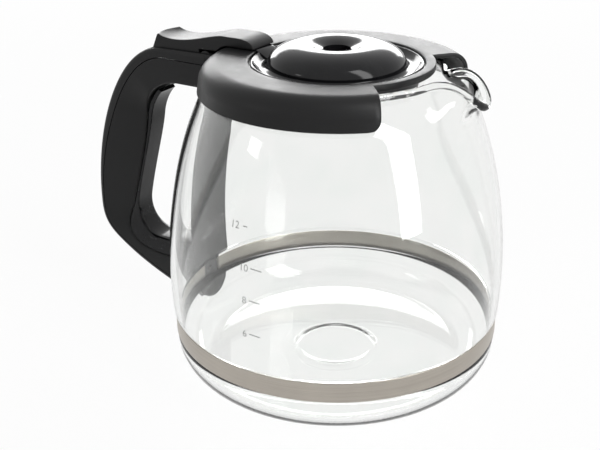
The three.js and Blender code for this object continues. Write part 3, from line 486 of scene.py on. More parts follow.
jug = {
    "bellyRadius": 0.076, "bellyHeight": 0.047, "wall": 0.0024, "baseThickness": 0.003,
    "heelRadius": 0.0165, "heelInset": 0.0017, "neckRadius": 0.0597, "neckHeight": 0.127,
    "neckLean": 25.3, "shoulderLean": 58.5, "rimRadius": 0.046, "rimHeight": 0.1405, "rimBead": 0.0018,
    "puntOuter": 0.0209, "puntInner": 0.0163, "puntRise": 0.0011,
    "spoutRoot": 0.019, "spoutReach": 0.019, "spoutSweep": 2.4, "spoutDrop": 0.0064, "spoutRise": 0.0032,
    "spoutSpread": 13.2, "spoutFlare": 0.8, "squareness": 2.6, "notch": 4, "lipPlace": 0.85,
    "lipWidth": 0.45, "turns": 200, "crowding": 0.5,
}
clearance = {"fit": 0.0004, "slip": 0.0003, "gap": 0.0003}
band = {
    "bottom": 0.0197, "height": 0.009, "thickness": 0.0006, "edge": 0.0002,
    "seatDepth": 0.0008, "seatEdge": 0.0001, "ramp": 0.0012,
}


def leaning(degrees, length):
    return Vector((-math.sin(math.radians(degrees)), math.cos(math.radians(degrees)))) * length


def lowerRadius(z):
    share = (z - jug["heelRadius"]) / (jug["bellyHeight"] - jug["heelRadius"])
    return jug["bellyRadius"] - jug["heelInset"] + jug["heelInset"] * math.sin(share * math.pi / 2)


heelMiddle = (jug["bellyRadius"] - jug["heelInset"] - jug["heelRadius"], jug["heelRadius"])
beadMiddle = (jug["rimRadius"], jug["rimHeight"] - jug["rimBead"])
beadFoot = Vector((beadMiddle[0] + jug["rimBead"] * 0.94, beadMiddle[1] - jug["rimBead"] * 0.34))
neckPoint = Vector((jug["neckRadius"], jug["neckHeight"]))
heelLine = arc(heelMiddle, jug["heelRadius"], jug["heelRadius"], -90, 0, 16)
lowerHeights = [between(jug["heelRadius"], jug["bellyHeight"], i / 12) for i in range(1, 12)]
lowerLine = [(lowerRadius(z), z) for z in lowerHeights]
wallBend = (jug["neckHeight"] - jug["bellyHeight"]) * 0.325
wallLine = bezier(
    (jug["bellyRadius"], jug["bellyHeight"]),
    (jug["bellyRadius"], jug["bellyHeight"] + wallBend),
    neckPoint - leaning(jug["neckLean"], wallBend),
    neckPoint,
    30,
)
shoulderBend = (jug["rimHeight"] - jug["neckHeight"]) * 0.37
shoulderLine = bezier(
    neckPoint,
    neckPoint + leaning(jug["neckLean"], shoulderBend),
    beadFoot - leaning(jug["shoulderLean"], shoulderBend),
    beadFoot,
    14,
)[1:]
outside = heelLine + lowerLine + wallLine + shoulderLine
bandTop = band["bottom"] + band["height"]
seatRadius = lowerRadius(band["bottom"]) - band["seatDepth"]


def lineAt(line, z):
    for low, high in zip(line, line[1:]):
        if low[1] <= z <= high[1]:
            return between(low[0], high[0], (z - low[1]) / (high[1] - low[1]))


def radiusAt(z):
    return lineAt(outside, z)


beadLine = arc(beadMiddle, jug["rimBead"], jug["rimBead"], -10, 205, 16)


def spoutPull(r, z, turn):
    root = jug["rimHeight"] - jug["spoutRoot"]
    rise = min(max((z - root) / (beadFoot.y - root), 0), 1)
    off = abs(turn - 2 * math.pi if turn > math.pi else turn)
    spread = math.radians(jug["spoutSpread"])
    width = spread * (1 + jug["spoutFlare"] * (1 - rise))
    pull = math.exp(-((off / width) ** jug["squareness"]))
    lip = math.exp(-(((off - jug["lipPlace"] * spread) / (jug["lipWidth"] * spread)) ** 2))
    lift = jug["spoutRise"] * lip - jug["spoutDrop"] * pull ** jug["notch"]
    return r + jug["spoutReach"] * rise ** jug["spoutSweep"] * pull, z + rise * lift


def leanOf(line):
    return math.atan2(line[-1][1] - line[-2][1], line[-1][0] - line[-2][0])


def jugSection(turn):
    inset = jug["puntOuter"] - jug["puntInner"]
    slope = [between(jug["puntInner"], jug["puntOuter"], i / 10) for i in range(11)]
    base = [(r, jug["puntRise"] * (1 - eased(r, jug["puntInner"], inset))) for r in [0, *slope]]
    low, high = band["bottom"] - clearance["fit"], bandTop + clearance["fit"]
    soft = band["seatEdge"]
    seat = [
        (lowerRadius(low - band["ramp"]), low - band["ramp"]),
        (seatRadius + soft, low - soft), (seatRadius, low),
        (seatRadius, high), (seatRadius + soft, high + soft),
        (lowerRadius(high + band["ramp"]), high + band["ramp"]),
    ]
    above = [(lowerRadius(z), z) for z in lowerHeights if z > high + band["ramp"] + 0.001]
    upper = [spoutPull(r, z, turn) for r, z in wallLine + shoulderLine]
    tip = Matrix.Rotation(leanOf(upper) - leanOf(outside), 2)  # the bead turns with its wall
    bead = [Vector(upper[-1]) + tip @ (Vector(point) - beadFoot) for point in beadLine]
    extra = jug["baseThickness"] - jug["wall"]
    wall = heelLine + lowerLine + upper
    inside = offsetLine(wall, lambda along: -jug["wall"] - extra * along.x ** 2)[::-1]
    floor = [(r, z + jug["baseThickness"]) for r, z in base[::-1]]
    return base + heelLine + seat + above + upper + bead + inside + floor


def makeJug():
    piece = lathe("glassJug", jugSection, jug["turns"], crowding=jug["crowding"])
    return placed(smoothed(piece, 50), "carafe", clearFinish, "clear_glass", "glass_jug")


def grownGlass(distance):
    line = [(0, -distance)] + offsetLine(outside, lambda along: distance) + [(0, jug["rimHeight"])]
    return lathe("grownGlass", line, 160, crowding=jug["crowding"])


makeJug()
print("jug made")


# Neck collar

collar = {
    "lidOpening": 0.0377, "plate": 0.0019, "wall": 0.0017, "fillet": 0.0086, "draft": 0.0005,
    "skirt": 0.0128, "hem": 0.0004, "bridgeWidth": 0.0043, "bridgeDepth": 0.0029, "edge": 0.0009,
    "windowInner": 40, "windowOuter": 43.5, "windowCorner": 0.0045, "bossDepth": 0.0108,
    "armHalf": 0.0103, "armGap": 0.0027, "armBelow": 0.0042, "turns": 150, "lap": 0.0001,
    "rootLap": 0.001, "ringRadians": 0.012, "bossFoot": 0.0012, "bossOut": 0.002, "bossEdge": 0.0004,
    "earRoot": 0.0006, "earEdge": 0.0003, "notchPast": 0.002,
}
hinge = {"knuckle": 0.0031, "pin": 0.0013, "pinRoom": 0.02, "barrel": 0.0104, "ear": 0.0026}
lever = {
    "width": 0.0164, "skin": 0.0018, "side": 0.00165, "hump": 0.0047, "dip": -0.0001, "tail": 0.0014,
    "reach": 0.0325, "rake": 0.003, "bow": 0.0022, "sink": 0.0014, "edge": 0.0008, "front": 0.0003,
    "dipIn": 0.0108, "humpIn": 0.0058, "armShort": 0.0022, "headRoom": 0.0016, "shankRoom": 0.0014,
}
fit, slip, gap = clearance["fit"], clearance["slip"], clearance["gap"]
collarTop = jug["rimHeight"] + fit + collar["plate"]
skirtBottom = collarTop - collar["skirt"]
collarInner = radiusAt(skirtBottom) + fit
collarOuter = collarInner + collar["wall"]
flatEnd = collarOuter - collar["draft"] - collar["fillet"]
lipEnd = collar["lidOpening"] + collar["bridgeWidth"]
hingeBehind, hingeHeight = -middleOf("hinge_pin").x, middleOf("hinge_pin").z
bossEnd = collarOuter + collar["bossDepth"]


def windowTurn(radius, height):
    share = (radius - lipEnd) / (collarOuter - lipEnd)
    turn = math.radians(between(collar["windowInner"], collar["windowOuter"], share))
    corner = collar["windowCorner"]
    below = min(max(corner - (height - skirtBottom), 0), corner)
    return turn + (corner - math.sqrt(corner ** 2 - below ** 2)) / radius


def collarShell():
    shoulder = (flatEnd, collarTop - collar["fillet"])
    root = lipEnd - collar["rootLap"]
    flat = [(between(root, flatEnd, i / 4), collarTop) for i in range(4)]
    outer = flat + arc(shoulder, collar["fillet"], collar["fillet"], 90, 0, 14)
    skirtEnd = skirtBottom + collar["hem"]
    outer += straight(outer[-1], (collarOuter, skirtEnd), 10)
    under = collarTop - collar["plate"]
    innerFlat = [(between(root, flatEnd, i / 4), under) for i in range(4)]
    radii = (collar["fillet"] - collar["wall"], collar["fillet"] - collar["plate"])
    inner = innerFlat + arc(shoulder, *radii, 90, 0, 14)
    inner += straight(inner[-1], (collarInner, skirtEnd), 10)
    outer.append((collarOuter - collar["hem"], skirtBottom))
    inner.append((collarInner + collar["hem"], skirtBottom))
    rings = [(0, 0.24), (0.00012, 0.1), (0.0004, 0)]  # reach past the window's edge, share tucked in
    points = []
    count = 2 * len(outer)
    turns = collar["turns"]
    stations = [("start", step) for step in rings] + [("run", i / turns) for i in range(1, turns)]
    stations += [("end", step) for step in rings[::-1]]
    for kind, value in stations:
        for pair in list(zip(outer, inner)) + list(zip(inner, outer))[::-1]:
            tuck = value[1] if kind != "run" else 0
            r = between(pair[0][0], pair[1][0], tuck)
            z = between(pair[0][1], pair[1][1], tuck)
            edge = windowTurn(pair[0][0], pair[0][1])
            if kind == "run":
                first = edge + collar["ringRadians"]
                turn = between(first, 2 * math.pi - first, value)
            else:
                turn = edge + value[0] / pair[0][0]
            turn = 2 * math.pi - turn if kind == "end" else turn
            points.append((r * math.cos(turn), r * math.sin(turn), z))
    faces = ringFaces(len(stations), count)
    last = len(points) - count
    for j in range(len(outer) - 1):
        k = count - 1 - j
        faces.append((j, j + 1, k - 1, k))
        faces.append((last + j, last + k, last + k - 1, last + j + 1))
    return cleaned(meshPiece("neckCollar", points, faces), 1e-6)


def roundedSection(left, bottom, right, top, corners, count=4):
    # corner radii go round from the lower left
    places = [(left, bottom, 180), (right, bottom, 270), (right, top, 0), (left, top, 90)]
    section = []
    for (x, z, start), radius in zip(places, corners):
        middle = (x + radius if x == left else x - radius, z + radius if z == bottom else z - radius)
        section += arc(middle, radius, radius, start, start + 90, count)
    return section


def earOutline(wallInside, bossTop):
    eye = (hingeBehind, hingeHeight)
    top = arc(eye, hinge["knuckle"], hinge["knuckle"], 0, 120, 16)
    low = bossTop - collar["rootLap"]
    foot = [(wallInside, low), (hingeBehind + hinge["knuckle"], low)]
    return foot + top + [(wallInside - collar["earRoot"], hingeHeight)]


def cheekOutline(wallInside):
    low, high = skirtBottom + collar["earRoot"], collarTop - collar["armBelow"]
    back = collarOuter + collar["armGap"] - gap
    return [(wallInside, low), (back, low), (back, high), (flatEnd + 0.7 * collar["fillet"], high)]


def pinRoom():
    ends = [(-hingeBehind, side * hinge["pinRoom"], hingeHeight) for side in (-1, 1)]
    return rod("pinRoom", hinge["pin"] + slip, *ends)


def makeCollar():
    lip = roundedSection(
        collar["lidOpening"], collarTop - collar["bridgeDepth"], lipEnd, collarTop,
        (0.0005, 0.0004, 0.0005, collar["edge"]),
    )
    piece = collarShell()
    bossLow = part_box("neck_collar")[0]
    bossBottom, bossTop = bossLow.z, hingeHeight - hinge["knuckle"] - fit
    wallInside = collarOuter - collar["wall"] * 0.6
    earInner = hinge["barrel"] / 2 + fit
    boss = sideways(
        "boss",
        [
            (wallInside, skirtBottom + collar["bossFoot"]), (collarOuter + collar["bossOut"], bossBottom),
            (-bossLow.x, bossBottom), (-bossLow.x, bossTop), (wallInside, bossTop),
        ],
        2 * (earInner + hinge["ear"] + collar["lap"]), collar["bossEdge"],
    )
    ears = []
    for side in (-1, 1):
        ear = sideways("ear", earOutline(wallInside, bossTop), hinge["ear"], collar["earEdge"])
        ear.data.transform(Matrix.Translation((0, side * (earInner + hinge["ear"] / 2), 0)))
        ears.append(ear)
        cheekInner = earInner + 3 * collar["lap"]
        cheekWidth = collar["armHalf"] - cheekInner
        cheek = sideways("cheek", cheekOutline(wallInside), cheekWidth, collar["earEdge"])
        cheek.data.transform(Matrix.Translation((0, side * (cheekInner + collar["armHalf"]) / 2, 0)))
        ears.append(cheek)
    fused(piece, lathe("lip", lip, 220, closed=True), boss, *ears)
    notchEnd = lipEnd + collar["notchPast"]
    notchHalf = lever["width"] / 2 - lever["side"]
    notch = block(
        "notch", (-notchEnd, -notchHalf, collarTop - collar["bridgeDepth"] - 0.001),
        (-collar["lidOpening"] + 0.004, notchHalf, collarTop + 0.001),
    )
    carved(piece, notch, pinRoom())
    placed(smoothed(cleaned(piece), 34), "carafe", matteFinish, "matte_black", "neck_collar")


# Lid and lever, drawn from the side

lid = {
    "gap": 0.00075, "skin": 0.002, "ringRadius": 0.0155, "halfWidth": 0.0143, "domeHeight": 0.0084,
    "belowTop": 0.0016, "throat": 0.006, "depth": 0.0102, "dish": 0.003, "inset": 0.0019, "plate": 0.0016,
    "tongueRoot": 0.0006, "mouthEdge": 0.0003, "rimBelow": 0.0005, "rimEdge": 0.0006, "underEdge": 0.0014,
    "cupEdge": 0.001, "screwRoom": 0.0015, "armStep": 0.001, "armEdge": 0.0004, "barrelEdge": 0.0002,
    "turns": 180,
}
armTop = collarTop - collar["armBelow"]
armHalf = lever["width"] / 2 - lever["side"] - fit
leverFront = collar["lidOpening"] - lever["front"]
leverUnder = armTop - lever["sink"]
leverFloor = collarTop + fit
overEars = hingeHeight + hinge["knuckle"] + fit
tailEnd = hingeBehind + lever["reach"]
tailBack = tailEnd - lever["rake"]
dipBehind = tailBack - lever["dipIn"]
humpEnd = collarOuter - lever["humpIn"]
humpTop, dipTop, tailTop = (collarTop + lever[key] for key in ("hump", "dip", "tail"))
leverLine = bezier(
    (leverFront, leverFloor), (leverFront, collarTop + 0.003),
    (leverFront + 0.0036, humpTop), (leverFront + 0.0086, humpTop), 16,
)
leverLine += bezier(
    (humpEnd, humpTop), (humpEnd + 0.006, humpTop), (dipBehind - 0.012, dipTop), (dipBehind, dipTop), 24,
)
leverLine += bezier(
    (dipBehind, dipTop), (dipBehind + 0.0045, dipTop),
    (tailBack - 0.0033, collarTop + lever["tail"] * 0.3), (tailBack - 0.0006, tailTop), 10,
)[1:]
earBack = hingeBehind + hinge["knuckle"] + fit
overShoulder = [(earBack, leverUnder), (earBack, overEars)]
overFillet = collar["fillet"] + fit
overShoulder += arc((flatEnd, collarTop - collar["fillet"]), overFillet, overFillet, 42, 90, 12)
armEnd = tailBack - lever["bow"] - lever["armShort"]
lidEdge = collar["lidOpening"] - lid["gap"]
tongueBack = math.sqrt((lidEdge - fit) ** 2 - armHalf ** 2)
dishFloor = collarTop - lid["dish"]
domeFoot = collarTop - lid["belowTop"]
domeEdge = lid["ringRadius"] + lid["halfWidth"]
armStep = lipEnd + lid["armStep"]


def armOutline(grow, drop):
    lower = lever["skin"] + gap - grow
    top = [(u, z - lower) for u, z in leverLine if armStep < u < armEnd - 0.001][::-1]
    nose = bezier(
        (leverFront - 0.0014, collarTop - 0.0002 + grow), (leverFront - 0.004, collarTop - 0.0014 + grow),
        (domeEdge + 0.0024, dishFloor + 0.0004), (domeEdge + 0.0006, dishFloor + 0.0002), 14,
    )
    outline = [(armEnd + grow, leverUnder - drop), (armEnd + grow, top[0][1]), *top]
    outline += [(leverFront + 0.0026, collarTop + 0.0008 + grow)]
    outline += [(leverFront - 0.0002, collarTop + 0.0003 + grow)]
    root = dishFloor - lid["tongueRoot"]
    under = [(domeEdge + 0.0006, root), (tongueBack, root), (tongueBack, dishFloor)]
    under += [(armStep - 0.0004, dishFloor), (armStep, leverFloor)]
    return outline + nose + [(u, z - drop) for u, z in under + overShoulder[::-1]]


def makeLidCap():
    middle = (lid["ringRadius"], domeFoot)
    tube = lid["throat"] + lid["skin"] * 0.8
    innerHalf, innerHeight = lid["halfWidth"] - lid["skin"], lid["domeHeight"] - lid["skin"]
    funnel = 180 - math.degrees(math.acos((lid["ringRadius"] - lid["throat"]) / lid["halfWidth"]))
    innerFunnel = 180 - math.degrees(math.acos((lid["ringRadius"] - tube) / innerHalf))
    bottom, under = collarTop - lid["depth"], dishFloor - lid["skin"]
    edgeTop = collarTop - lid["rimBelow"]
    mouth, rim = lid["mouthEdge"], lid["rimEdge"]
    section = [(lid["throat"], bottom + mouth), (lid["throat"] + mouth, bottom)]
    section += [(tube - mouth, bottom), (tube, bottom + mouth)]
    section += arc(middle, innerHalf, innerHeight, innerFunnel, 0, 28)
    section += [(domeEdge - lid["skin"], under), (lidEdge - lid["underEdge"], under)]
    section += [(lidEdge, under + lid["underEdge"])]
    section += arc((lidEdge - rim, edgeTop - rim), rim, rim, 0, 120, 6)
    section += bezier(
        (lidEdge - 0.0012, edgeTop - 0.0004), (lidEdge - 0.003, dishFloor + 0.0002),
        (domeEdge + 0.0026, dishFloor - 0.0004), (domeEdge + 0.0006, dishFloor + 0.0005), 16,
    )
    section += bezier(
        (domeEdge + 0.0006, dishFloor + 0.0005), (domeEdge + 0.0002, dishFloor + 0.0008),
        (domeEdge, domeFoot - 0.0004), (domeEdge, domeFoot), 5,
    )[1:-1]
    section += arc(middle, lid["halfWidth"], lid["domeHeight"], 0, funnel, 44)
    piece = lathe("lidCap", section, lid["turns"], closed=True)
    arm = sideways("arm", armOutline(0, 0), 2 * armHalf, lid["armEdge"])
    eye = (hingeBehind, hingeHeight)
    knuckle = arc(eye, hinge["knuckle"], hinge["knuckle"], 180, 360, 24)
    intoArm = [(eye[0] + side * hinge["knuckle"], overEars + 0.001) for side in (1, -1)]
    barrel = sideways("barrel", knuckle + intoArm, hinge["barrel"], lid["barrelEdge"])
    fused(piece, arm, barrel)
    rooms = [pinRoom()]
    for node in ("lever_screw_front", "lever_screw_rear"):
        low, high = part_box(node)
        x = (low.x + high.x) / 2
        headRoom = (high.x - low.x) / 2 + slip
        rooms.append(rod("screwRoom", headRoom, (x, 0, low.z - 0.001), (x, 0, low.z + lever["headRoom"])))
        rooms.append(rod("shankRoom", lever["shankRoom"], (x, 0, low.z), (x, 0, collarTop)))
    carved(piece, *rooms)
    placed(smoothed(cleaned(piece), 36), "lid", glossFinish, "gloss_black", "lid_cap")


def makeLever():
    outline = leverLine + [(tailBack, tailTop - 0.0005), (tailEnd, leverUnder)] + overShoulder

    def bowed(u, y):
        return u - lever["bow"] * eased(u, dipBehind, tailBack - dipBehind) * (2 * y / lever["width"]) ** 2

    piece = sideways("thumbLever", outline, lever["width"], lever["edge"], 4, 24, bowed)
    hollow = sideways("hollow", armOutline(gap, 0.009), lever["width"] - 2 * lever["side"])
    carved(piece, hollow)
    placed(smoothed(cleaned(piece), 36), "lid", matteFinish, "matte_black", "thumb_lever")


def makeLidBase():
    bottom, under = collarTop - lid["depth"], dishFloor - lid["skin"]
    outer = lidEdge - lid["inset"]
    hole = lid["throat"] + lid["skin"] * 0.8 + fit
    plate, edge = lid["plate"], lid["cupEdge"]
    section = [(hole, bottom), (outer - edge, bottom)]
    section += arc((outer - edge, bottom + edge), edge, edge, -80, 0, 6)
    section += [(outer, under - gap), (outer - plate, under - gap)]
    section += [(outer - plate, bottom + plate), (hole, bottom + plate)]
    piece = lathe("lidBase", section, lid["turns"], closed=True)
    rooms = []
    for number in (1, 2, 3):
        x, y = middleOf(f"lid_screw_{number}").xy
        rooms.append(rod("screwRoom", lid["screwRoom"], (x, y, bottom - 0.001), (x, y, bottom + 0.003)))
    carved(piece, *rooms)
    placed(smoothed(piece, 36), "lid", matteFinish, "matte_black", "lid_base")


makeCollar()
makeLidCap()
makeLever()
makeLidBase()
print("collar, lid and lever made")


# Handle, drawn from the side

handle = {
    "width": 0.0206, "gripWidth": 0.0124, "wall": 0.0016, "floor": 0.0022, "reach": 0.0585, "depth": 0.0192,
    "armDepth": 0.0164, "heel": 0.054, "foot": 0.0122, "footDepth": 0.0193, "footCover": 0.0067,
    "coverTop": 0.0052, "coverFoot": 0.003, "coverSkin": 0.0018, "coverEdge": 0.0022, "edge": 0.0015,
    "jointEdge": 0.00035, "lipEdge": 0.0003, "tuck": 0.0004, "plate": 0.0024,
    "driverRoom": 0.0024, "screwRoom": 0.0018, "bulkhead": 0.0022, "endWall": 0.002, "endHalf": 0.0049,
    "bendOut": 0.013, "footIn": 0.003, "cornerIn": 0.02, "cornerUp": 0.0147,
}
fine = 5  # stations for each coarse one
spineEnd = jug["bellyRadius"] + handle["reach"]
armStart = collarOuter + collar["armGap"]
armUnder = armTop - handle["armDepth"]
bendStart = jug["bellyRadius"] + handle["bendOut"]
gripDrop = armTop - handle["heel"]
insideFoot = jug["bellyRadius"] - handle["footIn"]
innerEnd = spineEnd - handle["depth"]
cornerEnd = (spineEnd - handle["cornerIn"], handle["foot"] + handle["cornerUp"])
counts = {"arm": 3 * fine, "bend": 8 * fine, "grip": 6 * fine, "corner": 6 * fine, "foot": 5 * fine}
bendShare = 0.52
armStations = counts["arm"] + counts["bend"]
gripStations = armStations + counts["grip"]
insertStart = counts["arm"] + counts["bend"] // 2
halfWidth = handle["width"] / 2
channelHalf = halfWidth - handle["wall"]
plateFace = fit + handle["plate"] + gap


def spineCurve(share):
    start, end = (bendStart, armTop - 0.0006), (spineEnd, handle["heel"])
    over = (between(bendStart, spineEnd, 0.56), armTop - 0.0014)
    down = (spineEnd, handle["heel"] + gripDrop * 0.47)
    return bezierPoint(start, over, down, end, share)


def spinePoints():
    line = [(armStart, armTop)] + straight((armStart, armTop), (bendStart, armTop - 0.0006), counts["arm"])
    line += [spineCurve(bendShare * i / counts["bend"]) for i in range(1, counts["bend"] + 1)]
    line += [spineCurve(between(bendShare, 1, i / counts["grip"])) for i in range(1, counts["grip"] + 1)]
    heel = (spineEnd, handle["heel"])
    line += bezier(
        heel, (spineEnd + 0.0003, heel[1] - 0.0135), (spineEnd - 0.0035, heel[1] - 0.0174),
        cornerEnd, counts["corner"],
    )[1:]
    line += bezier(
        cornerEnd, (cornerEnd[0] - 0.009, cornerEnd[1] - 0.005),
        (jug["bellyRadius"] + 0.017, handle["foot"] + 0.0044),
        (insideFoot, handle["foot"] - 0.0017), counts["foot"],
    )[1:]
    return line


bendUnder = (jug["bellyRadius"] + 0.004, armUnder)
gripTop = (innerEnd - 0.013, armUnder - 0.0209)
gripFoot = (innerEnd, handle["heel"] - 0.001)
cornerInner = (innerEnd - 0.0048, handle["foot"] + 0.0212)


def innerPoints():
    line = [(armStart, armUnder)] + straight((armStart, armUnder), bendUnder, counts["arm"])
    line += bezier(
        bendUnder, (bendUnder[0] + 0.012, armUnder - 0.0002), (gripTop[0] - 0.0015, gripTop[1] + 0.013),
        gripTop, counts["bend"],
    )[1:]
    line += bezier(
        gripTop, (gripTop[0] + 0.0012, gripTop[1] - 0.01), (gripFoot[0] - 0.0058, gripFoot[1] + 0.019),
        gripFoot, counts["grip"],
    )[1:]
    line += bezier(
        gripFoot, (gripFoot[0] + 0.0031, gripFoot[1] - 0.0075), (gripFoot[0] + 0.0062, gripFoot[1] - 0.014),
        cornerInner, counts["corner"],
    )[1:]
    line += bezier(
        cornerInner, (cornerInner[0] - 0.0065, cornerInner[1] - 0.0029),
        (jug["bellyRadius"] + 0.016, handle["foot"] + handle["footDepth"] - 0.0024),
        (insideFoot, handle["foot"] + handle["footDepth"] + 0.0006), counts["foot"],
    )[1:]
    return line


spineLine = spinePoints()
innerLine = innerPoints()


def innerHalf(station):
    narrowed = eased(station, insertStart, counts["bend"] / 2)
    widened = eased(station, gripStations, counts["corner"])
    half = between(halfWidth, handle["gripWidth"] / 2, narrowed)
    return between(half, halfWidth - 0.0006, widened)


def coverDepth(station):
    share = eased(station, armStations, gripStations - armStations)
    return between(handle["coverTop"], handle["coverFoot"], share)


def roundCorner(corner, before, after, radius, count=4):
    # points of a quarter bend that cuts the corner between two neighbours
    corner, before, after = Vector(corner), Vector(before), Vector(after)
    start = corner + (before - corner).normalized() * radius
    end = corner + (after - corner).normalized() * radius
    points = []
    for i in range(count + 1):
        t = i / count
        points.append(tuple(start * (1 - t) ** 2 + corner * 2 * t * (1 - t) + end * t * t))
    return points


def roundedLoop(corners, radii, count=4):
    loop = []
    for i, (corner, radius) in enumerate(zip(corners, radii)):
        before, after = corners[i - 1], corners[(i + 1) % len(corners)]
        loop += roundCorner(corner, before, after, radius, count) if radius else [corner]
    return loop


def makeShell():
    def section(station, span):
        top, half = span - coverDepth(station), innerHalf(station)
        corners = [
            (top, halfWidth), (top, channelHalf), (handle["floor"], half - handle["wall"]),
            (handle["floor"], handle["wall"] - half), (top, -channelHalf), (top, -halfWidth),
            (0, -half), (0, half),
        ]
        edge, joint, lip = handle["edge"], handle["jointEdge"], handle["lipEdge"]
        return roundedLoop(corners, (joint, lip, 0, 0, lip, joint, edge, edge), 5)

    piece = spanned("handleShell", innerLine, spineLine, section)
    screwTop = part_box("arm_screw_near")[1].z
    wallFace = bossEnd + gap
    bulkhead = block(
        "bulkhead", (-wallFace - handle["bulkhead"], -channelHalf - 0.0008, armUnder + 0.001),
        (-wallFace, channelHalf + 0.0008, screwTop + gap),
    )
    footWall = jug["bellyRadius"] + plateFace + handle["endWall"]
    endHalf = handle["endHalf"]
    endWall = block(
        "endWall", (-footWall, -endHalf, band["bottom"] - 0.003), (-insideFoot, endHalf, bandTop + 0.0016),
    )
    fused(piece, bulkhead, endWall)
    x, z = middleOf("band_screw").xz
    rooms = [grownGlass(plateFace), rod("driverRoom", handle["driverRoom"], (x, 0, z), (x, 0.02, z))]
    z = middleOf("pad_screw").z
    screwRoom = handle["screwRoom"]
    rooms.append(rod("padRoom", screwRoom, (-insideFoot + 0.001, 0, z), (-footWall - 0.001, 0, z)))
    for node in ("arm_screw_near", "arm_screw_far"):
        y, z = middleOf(node).yz
        rooms.append(rod("armRoom", screwRoom, (-bossEnd + 0.001, y, z), (-wallFace - 0.004, y, z)))
    carved(piece, *rooms)
    placed(smoothed(cleaned(piece), 36), "carafe", matteFinish, "matte_black", "handle_shell")


def makeCover():
    def section(station, span):
        base = span - coverDepth(station) + gap
        side, inner = halfWidth - handle["tuck"], channelHalf - handle["tuck"]
        skin = span - handle["coverSkin"]
        corners = [
            (base, halfWidth), (span, side), (span, -side), (base, -halfWidth), (base, -channelHalf),
            (skin, -inner), (skin, inner), (base, channelHalf),
        ]
        joint, back = handle["jointEdge"], handle["coverEdge"]
        return roundedLoop(corners, (joint, back, back, joint, 0.0002, 0, 0, 0.0002), 7)

    piece = spanned("spineCover", innerLine, spineLine, section)
    slotEnd = tailEnd + 0.0014
    slotHalf = lever["width"] / 2 + fit
    slot = block(
        "slot", (-slotEnd, -slotHalf, armTop - handle["coverTop"] - 0.006),
        (-armStart + 0.001, slotHalf, armTop + 0.001),
    )
    carved(piece, slot, grownGlass(plateFace))
    placed(smoothed(cleaned(piece), 36), "carafe", matteFinish, "matte_black", "spine_cover")


insert = {
    "thickness": 0.002, "cornerOut": 0.025, "heelIn": 0.0027, "seatIn": 0.0006, "seatEdge": 0.0001,
    "gripDraft": 0.0002, "footDraft": 0.0016, "gripEdge": 0.0006, "footEdge": 0.0034,
}


def glossPoints():
    thickness = insert["thickness"]
    footTop = handle["foot"] + handle["footDepth"] + handle["footCover"]
    start = (innerLine[insertStart][0] - thickness, innerLine[insertStart][1] - thickness * 0.7)
    top = (gripTop[0] - thickness, gripTop[1] - 0.0002)
    heel = (gripFoot[0] - insert["heelIn"], handle["heel"] + 0.002)
    corner = (jug["bellyRadius"] + insert["cornerOut"], footTop)
    line = bezier(
        start, (start[0] + 0.0032, start[1] - 0.003), (top[0] - 0.001, top[1] + 0.006),
        top, counts["bend"] // 2,
    )
    line += bezier(
        top, (top[0] + 0.0017, top[1] - 0.01), (heel[0] - 0.0038, heel[1] + 0.017), heel, counts["grip"],
    )[1:]
    line += bezier(
        heel, (heel[0] + 0.0016, heel[1] - 0.008), (corner[0] + 0.0095, footTop + 0.0008),
        corner, counts["corner"],
    )[1:]
    return line + straight(corner, (insideFoot, footTop), counts["foot"])


def makeInsert():
    def section(index, span):
        station = index + insertStart
        seat = innerHalf(max(station, armStations)) - insert["seatIn"]
        lower = eased(station, gripStations, counts["corner"])
        face = seat - between(insert["gripDraft"], insert["footDraft"], lower)
        corners = [(0, face), (span - fit, seat), (span - fit, -seat), (0, -face)]
        bend = between(insert["gripEdge"], insert["footEdge"], lower)
        return roundedLoop(corners, (bend, insert["seatEdge"], insert["seatEdge"], bend), 8)

    piece = spanned("gripInsert", glossPoints(), innerLine[insertStart:], section)
    carved(piece, grownGlass(plateFace))
    placed(smoothed(cleaned(piece), 36), "carafe", glossFinish, "gloss_black", "grip_insert")


makeShell()
makeCover()
makeInsert()
print("handle made")


# Steel band and back plate

tab = {
    "reach": 0.014, "height": 0.0062, "spacing": 0.0126, "bend": 0.0014, "clearRadians": 0.03,
    "screwRoom": 0.0019, "taperFrom": 0.0008, "taper": 0.0016,
}
clampHeight = band["bottom"] + band["height"] / 2


def bandPath():
    radius = seatRadius + gap + band["thickness"] / 2
    across = tab["spacing"] / 2 - band["thickness"] / 2
    root = math.sqrt(radius ** 2 - across ** 2)
    end = 180 - math.degrees(math.asin(across / radius) + tab["clearRadians"])
    hoop = arc((0, 0), radius, radius, end, -end, 240)
    tip = root + tab["reach"]
    path = [(-between(tip, root + tab["bend"], i / 6), across) for i in range(6)]
    path += roundCorner((-root, across), path[-1], hoop[0], tab["bend"], 6) + hoop
    back = [(x, -y) for x, y in path[:6]]
    return path + roundCorner((-root, -across), hoop[-1], back[-1], tab["bend"], 6) + back[::-1]


def makeBand():
    path = bandPath()
    points = []
    for i, place in enumerate(path):
        before, after = path[max(i - 1, 0)], path[min(i + 1, len(path) - 1)]
        along = Vector((after[0] - before[0], after[1] - before[1])).normalized()
        away = Vector((along.y, -along.x))
        outer = math.hypot(*place) - seatRadius
        taper = eased(outer, tab["taperFrom"], tab["taper"])
        half = between(band["height"], tab["height"], taper) / 2
        edge = band["thickness"] / 2
        loop = roundedSection(-edge, -half, edge, half, (band["edge"],) * 4, 3)
        for offset, up in loop:
            spot = Vector(place) + away * offset
            points.append((spot.x, spot.y, clampHeight + up))
    piece = skinned("steelBand", points, len(path), 1e-6)
    x = middleOf("band_screw").x
    carved(piece, rod("screwRoom", tab["screwRoom"], (x, -0.01, clampHeight), (x, 0.01, clampHeight)))
    placed(smoothed(piece, 40), "carafe", steelFinish, "band_steel", "steel_band")


